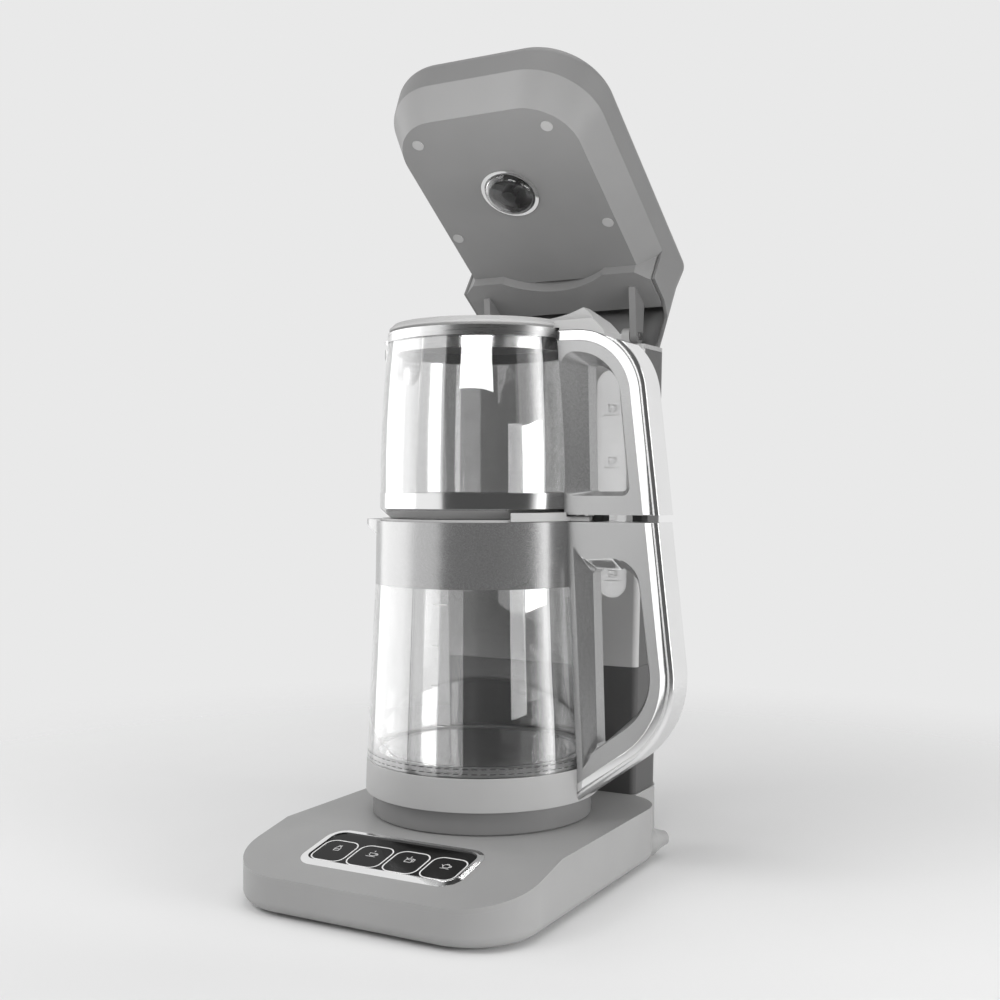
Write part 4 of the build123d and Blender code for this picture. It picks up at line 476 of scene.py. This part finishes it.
TEAPOT = [
    ([(-1.5, -1.8), (1.5, -1.8), (2.0, 0.2), (1.2, 1.3), (-1.2, 1.3), (-2.0, 0.2)], True),
    ([(-0.5, 1.3), (-0.5, 2.0), (0.5, 2.0), (0.5, 1.3)], False),
    ([(-1.9, -0.5), (-3.1, 0.9)], False),
    ([(1.95, 0.5), (2.9, 0.3), (2.8, -0.9), (1.7, -1.2)], False),
    ([(-2.7, -2.7), (2.7, -2.7)], False),
]
KEY_PITCH = 25.2
KEY_V = -3.4                # the keys' middle, up the slope from the panel's
KEY_WIDTH, KEY_LENGTH, KEY_CORNER = 22.6, 24.6, 6.3
KEY_LINE, PICTURE_LINE = 0.85, 0.36
PICTURE_V, PICTURE_SIZE = 3.2, 1.1  # up from the key's middle, and a factor
FASCIA_RISE = 0.3
for place_number, (key, picture) in enumerate(
    (("bottle_key", BOTTLE), ("cup_key", CUP), ("jug_key", JUG), ("teapot_key", TEAPOT))
):
    centre = ((place_number - 1.5) * KEY_PITCH, KEY_V)
    outline = [(rounded_box(centre, KEY_WIDTH, KEY_LENGTH, KEY_CORNER), True)]
    pictogram = moved(picture, (centre[0], centre[1] + PICTURE_V), PICTURE_SIZE)

    def on_key(u, v, height):
        return panel_spot(u, v, FASCIA_RISE + height)

    printed(f"{key}_outline", outline, KEY_LINE, on_key, key, "print")
    printed(f"{key}_picture", pictogram, PICTURE_LINE, on_key, key, "print")

LEVELS = (189.0, 228.0, 267.0, 303.0)
LEVEL_PICTURE_SIZE = 1.15
TICKS = ((-5.2, 6.0), (-0.9, 1.1))      # under and inside each picture: height from it, half length
WINDOW_X = 57.5
LEVEL_LINE, MARK_LINE = 0.55, 0.6
for side, window_x in (("left", -WINDOW_X), ("right", WINDOW_X)):
    strokes = []
    for level in LEVELS:
        strokes += moved(JUG[:3], (window_x, level), LEVEL_PICTURE_SIZE)
        for rise, half in TICKS:
            strokes.append(([(window_x - half, level + rise), (window_x + half, level + rise)], False))
    printed(f"level_marks_{side}", strokes, LEVEL_LINE, window_spot, "base", "faint_print")

MARK_START = -31.0          # the marks' left ends, round the glass
strokes = []
for level, length in ((104.0, 9.0), (128.0, 4.0), (152.0, 4.0), (177.0, 9.0)):
    strokes.append(([(MARK_START, level), (MARK_START + length, level)], False))
printed("kettle_marks", strokes, MARK_LINE, kettle_spot, "kettle", "faint_print", subdivide=1.0)

# the gasket under the glass shows as two rows of short teeth
TEETH = 84
TOOTH_LENGTH = 3.4
TOOTH_LINE = 0.5
TOOTH_LEVELS = (76.0, 79.0)
TOOTH_PITCH = 2 * pi * GLASS_RADIUS / TEETH
strokes = []
for level in TOOTH_LEVELS:
    for tooth in range(TEETH):
        start = tooth * TOOTH_PITCH
        strokes.append(([(start, level), (start + TOOTH_LENGTH, level)], False))
printed("gasket_teeth", strokes, TOOTH_LINE, kettle_spot, "kettle", "rubber", subdivide=1.2)

# ------------------------------------------------------------------ light, floor, background
BACKGROUND = 0.815          # a pale grey of 233
STUDIO_FRONT = (0.48, -0.87, 0.0)
ROOM_DARK = 0.10            # what gloss sees in front of the object
ROOM_START, ROOM_END = -0.35, 0.55  # where the room turns from pale to dark, along STUDIO_FRONT
AMBIENT = 0.31
FADE_NEAR, FADE_FAR = 0.0, 1.6      # a faded soft box's strength at its two sides
FLOOR_REACH = 1.6           # metres
FLOOR_RINGS, FLOOR_AROUND = 24, 96
PAPER_SCALE = 5.0
PAPER_DARK, PAPER_LIGHT = 0.83, 0.84
FLOOR_FADE_START, FLOOR_FADE_END = 0.22, 0.85


def build_world():
    """A plain pale surround. Camera and glass see its grey, and gloss sees a room that is dark in front."""
    world = bpy.data.worlds.new("studio")
    world.use_nodes = True
    tree = world.node_tree
    tree.nodes.clear()
    out = node(tree, "ShaderNodeOutputWorld")
    seen = node(tree, "ShaderNodeBackground", Strength=1.0)
    seen.inputs["Color"].default_value = (*grey(BACKGROUND), 1)
    lit = node(tree, "ShaderNodeBackground", Strength=AMBIENT)
    lit.inputs["Color"].default_value = (1, 1, 1, 1)
    path = node(tree, "ShaderNodeLightPath")
    either = node(tree, "ShaderNodeMath", operation="MAXIMUM")
    tree.links.new(path.outputs["Is Camera Ray"], either.inputs[0])
    tree.links.new(path.outputs["Is Transmission Ray"], either.inputs[1])
    mix = node(tree, "ShaderNodeMixShader")
    tree.links.new(either.outputs["Value"], mix.inputs["Fac"])
    tree.links.new(lit.outputs["Background"], mix.inputs[1])
    tree.links.new(seen.outputs["Background"], mix.inputs[2])
    # the room is dark in front of the object and pale behind it, which gives the chrome its contrast
    spot = node(tree, "ShaderNodeTexCoord")
    facing = node(tree, "ShaderNodeVectorMath", operation="DOT_PRODUCT")
    facing.inputs[1].default_value = STUDIO_FRONT
    tree.links.new(spot.outputs["Generated"], facing.inputs[0])
    share = node(
        tree,
        "ShaderNodeMapRange",
        interpolation_type="SMOOTHSTEP",
        From_Min=ROOM_START,
        From_Max=ROOM_END,
    )
    tree.links.new(facing.outputs["Value"], share.inputs["Value"])
    room = tones(tree, share.outputs["Result"], grey(BACKGROUND), grey(ROOM_DARK))
    gloss = node(tree, "ShaderNodeBackground", Strength=1.0)
    tree.links.new(room, gloss.inputs["Color"])
    final = node(tree, "ShaderNodeMixShader")
    tree.links.new(path.outputs["Is Glossy Ray"], final.inputs["Fac"])
    tree.links.new(mix.outputs["Shader"], final.inputs[1])
    tree.links.new(gloss.outputs["Background"], final.inputs[2])
    tree.links.new(final.outputs["Shader"], out.inputs["Surface"])
    bpy.context.scene.world = world


def build_floor():
    """A pale floor that fades into the surround well outside the object."""
    mesh = bpy.data.meshes.new("floor")
    shape = bmesh.new()
    centre = shape.verts.new((0, 0, 0))
    last = None
    for step in range(1, FLOOR_RINGS + 1):
        radius = FLOOR_REACH * step / FLOOR_RINGS
        turns = [2 * pi * k / FLOOR_AROUND for k in range(FLOOR_AROUND)]
        row = [shape.verts.new((radius * cos(turn), radius * sin(turn), 0)) for turn in turns]
        for k in range(FLOOR_AROUND):
            following = (k + 1) % FLOOR_AROUND
            if last is None:
                shape.faces.new((centre, row[k], row[following]))
            else:
                shape.faces.new((last[k], row[k], row[following], last[following]))
        last = row
    shape.to_mesh(mesh)
    shape.free()
    floor = bpy.data.objects.new("floor", mesh)
    bpy.context.scene.collection.objects.link(floor)
    made, tree, out = new_material("floor_paper")
    paper = node(tree, "ShaderNodeBsdfDiffuse", Roughness=0.0)
    colour = tones(tree, noise(tree, place(tree), PAPER_SCALE), grey(PAPER_DARK), grey(PAPER_LIGHT))
    tree.links.new(colour, paper.inputs["Color"])
    clear_part = node(tree, "ShaderNodeBsdfTransparent")
    radius = node(tree, "ShaderNodeVectorMath", operation="LENGTH")
    tree.links.new(place(tree), radius.inputs[0])
    fade = node(
        tree,
        "ShaderNodeMapRange",
        interpolation_type="SMOOTHSTEP",
        From_Min=FLOOR_FADE_START,
        From_Max=FLOOR_FADE_END,
    )
    tree.links.new(radius.outputs["Value"], fade.inputs["Value"])
    mix = node(tree, "ShaderNodeMixShader")
    tree.links.new(fade.outputs["Result"], mix.inputs["Fac"])
    tree.links.new(paper.outputs["BSDF"], mix.inputs[1])
    tree.links.new(clear_part.outputs["BSDF"], mix.inputs[2])
    tree.links.new(mix.outputs["Shader"], out.inputs["Surface"])
    mesh.materials.append(made)


def lamp(name, spot, aim, size, power):
    """A soft box at a place, turned towards a point."""
    data = bpy.data.lights.new(name, "AREA")
    data.shape = "RECTANGLE"
    data.size, data.size_y = size
    data.energy = power
    made = bpy.data.objects.new(name, data)
    bpy.context.scene.collection.objects.link(made)
    made.location = spot
    made.rotation_euler = (Vector(aim) - Vector(spot)).to_track_quat("-Z", "Y").to_euler()
    return made


def fill(*where):
    """A soft box that lights surfaces without showing in them."""
    made = lamp(*where)
    made.visible_glossy = False
    made.visible_camera = False


def fade_sideways(box):
    """A soft box that brightens from one side to the other, as its reflection does in the glass."""
    data = box.data
    data.use_nodes = True
    tree = data.node_tree
    emission = tree.nodes["Emission"]
    place_on_box = node(tree, "ShaderNodeNewGeometry")
    split = node(tree, "ShaderNodeSeparateXYZ")
    tree.links.new(place_on_box.outputs["Parametric"], split.inputs["Vector"])
    ramp = node(
        tree, "ShaderNodeMapRange", interpolation_type="SMOOTHSTEP", To_Min=FADE_NEAR, To_Max=FADE_FAR
    )
    tree.links.new(split.outputs["X"], ramp.inputs["Value"])
    tree.links.new(ramp.outputs["Result"], emission.inputs["Strength"])


build_world()
build_floor()
# each soft box: its place, the point it faces, its width and height, and its power in watts
lamp("key_box", (-0.75, -1.25, 1.3), (0, 0, 0.15), (0.9, 0.9), 9.5)
lamp("left_box", (-1.25, -0.30, 0.42), (0, 0, 0.25), (1.5, 1.3), 10.0)
front_left_box = lamp("front_left_box", (-0.70, -1.20, 0.42), (0, 0, 0.25), (0.8, 1.1), 3.2)
front_left_box.visible_diffuse = False
right_box = lamp("right_box", (1.29, 0.04, 0.45), (0, 0, 0.3), (0.55, 1.3), 4.8)
right_box.visible_diffuse = False
fade_sideways(right_box)
fill("right_fill", (1.2, -0.1, 0.5), (0, 0, 0.2), (0.6, 1.0), 2.2)
fill("right_low_box", (1.3, -0.05, 0.30), (0.09, 0.0, 0.03), (0.6, 0.3), 8.0)
fill("rake_box", (0.95, -0.42, 0.22), (0.06, 0.08, 0.16), (0.3, 0.4), 1.5)
fill("front_low_box", (-0.25, -1.25, 0.06), (0, 0.05, 0.45), (1.0, 0.3), 1.8)
fill("head_box", (0.13, -0.30, 0.42), (0.02, 0.02, 0.52), (0.2, 0.12), 0.95)
lamp("top_box", (0.1, 0.1, 1.7), (0, 0, 0.3), (1.2, 1.2), 6.0)

# ------------------------------------------------------------------ camera
FOCAL_PIXELS = 1282.44
IMAGE_PIXELS = 1000.0
HORIZON_ROW = 488.51
SENSOR_WIDTH = 36.0
CAMERA_SPOT = (0.4147, -0.7325, 0.24723)
CAMERA_WAY = (-0.4807, 0.8769, 0)
camera_data = bpy.data.cameras.new("camera")
camera_data.sensor_width = SENSOR_WIDTH
camera_data.lens = FOCAL_PIXELS / IMAGE_PIXELS * camera_data.sensor_width
camera_data.shift_y = (HORIZON_ROW - IMAGE_PIXELS / 2) / IMAGE_PIXELS
camera = bpy.data.objects.new("camera", camera_data)
bpy.context.scene.collection.objects.link(camera)
camera.location = CAMERA_SPOT
camera.rotation_euler = Vector(CAMERA_WAY).to_track_quat("-Z", "Y").to_euler()
bpy.context.scene.camera = camera
bpy.context.scene.view_settings.view_transform = "Standard"
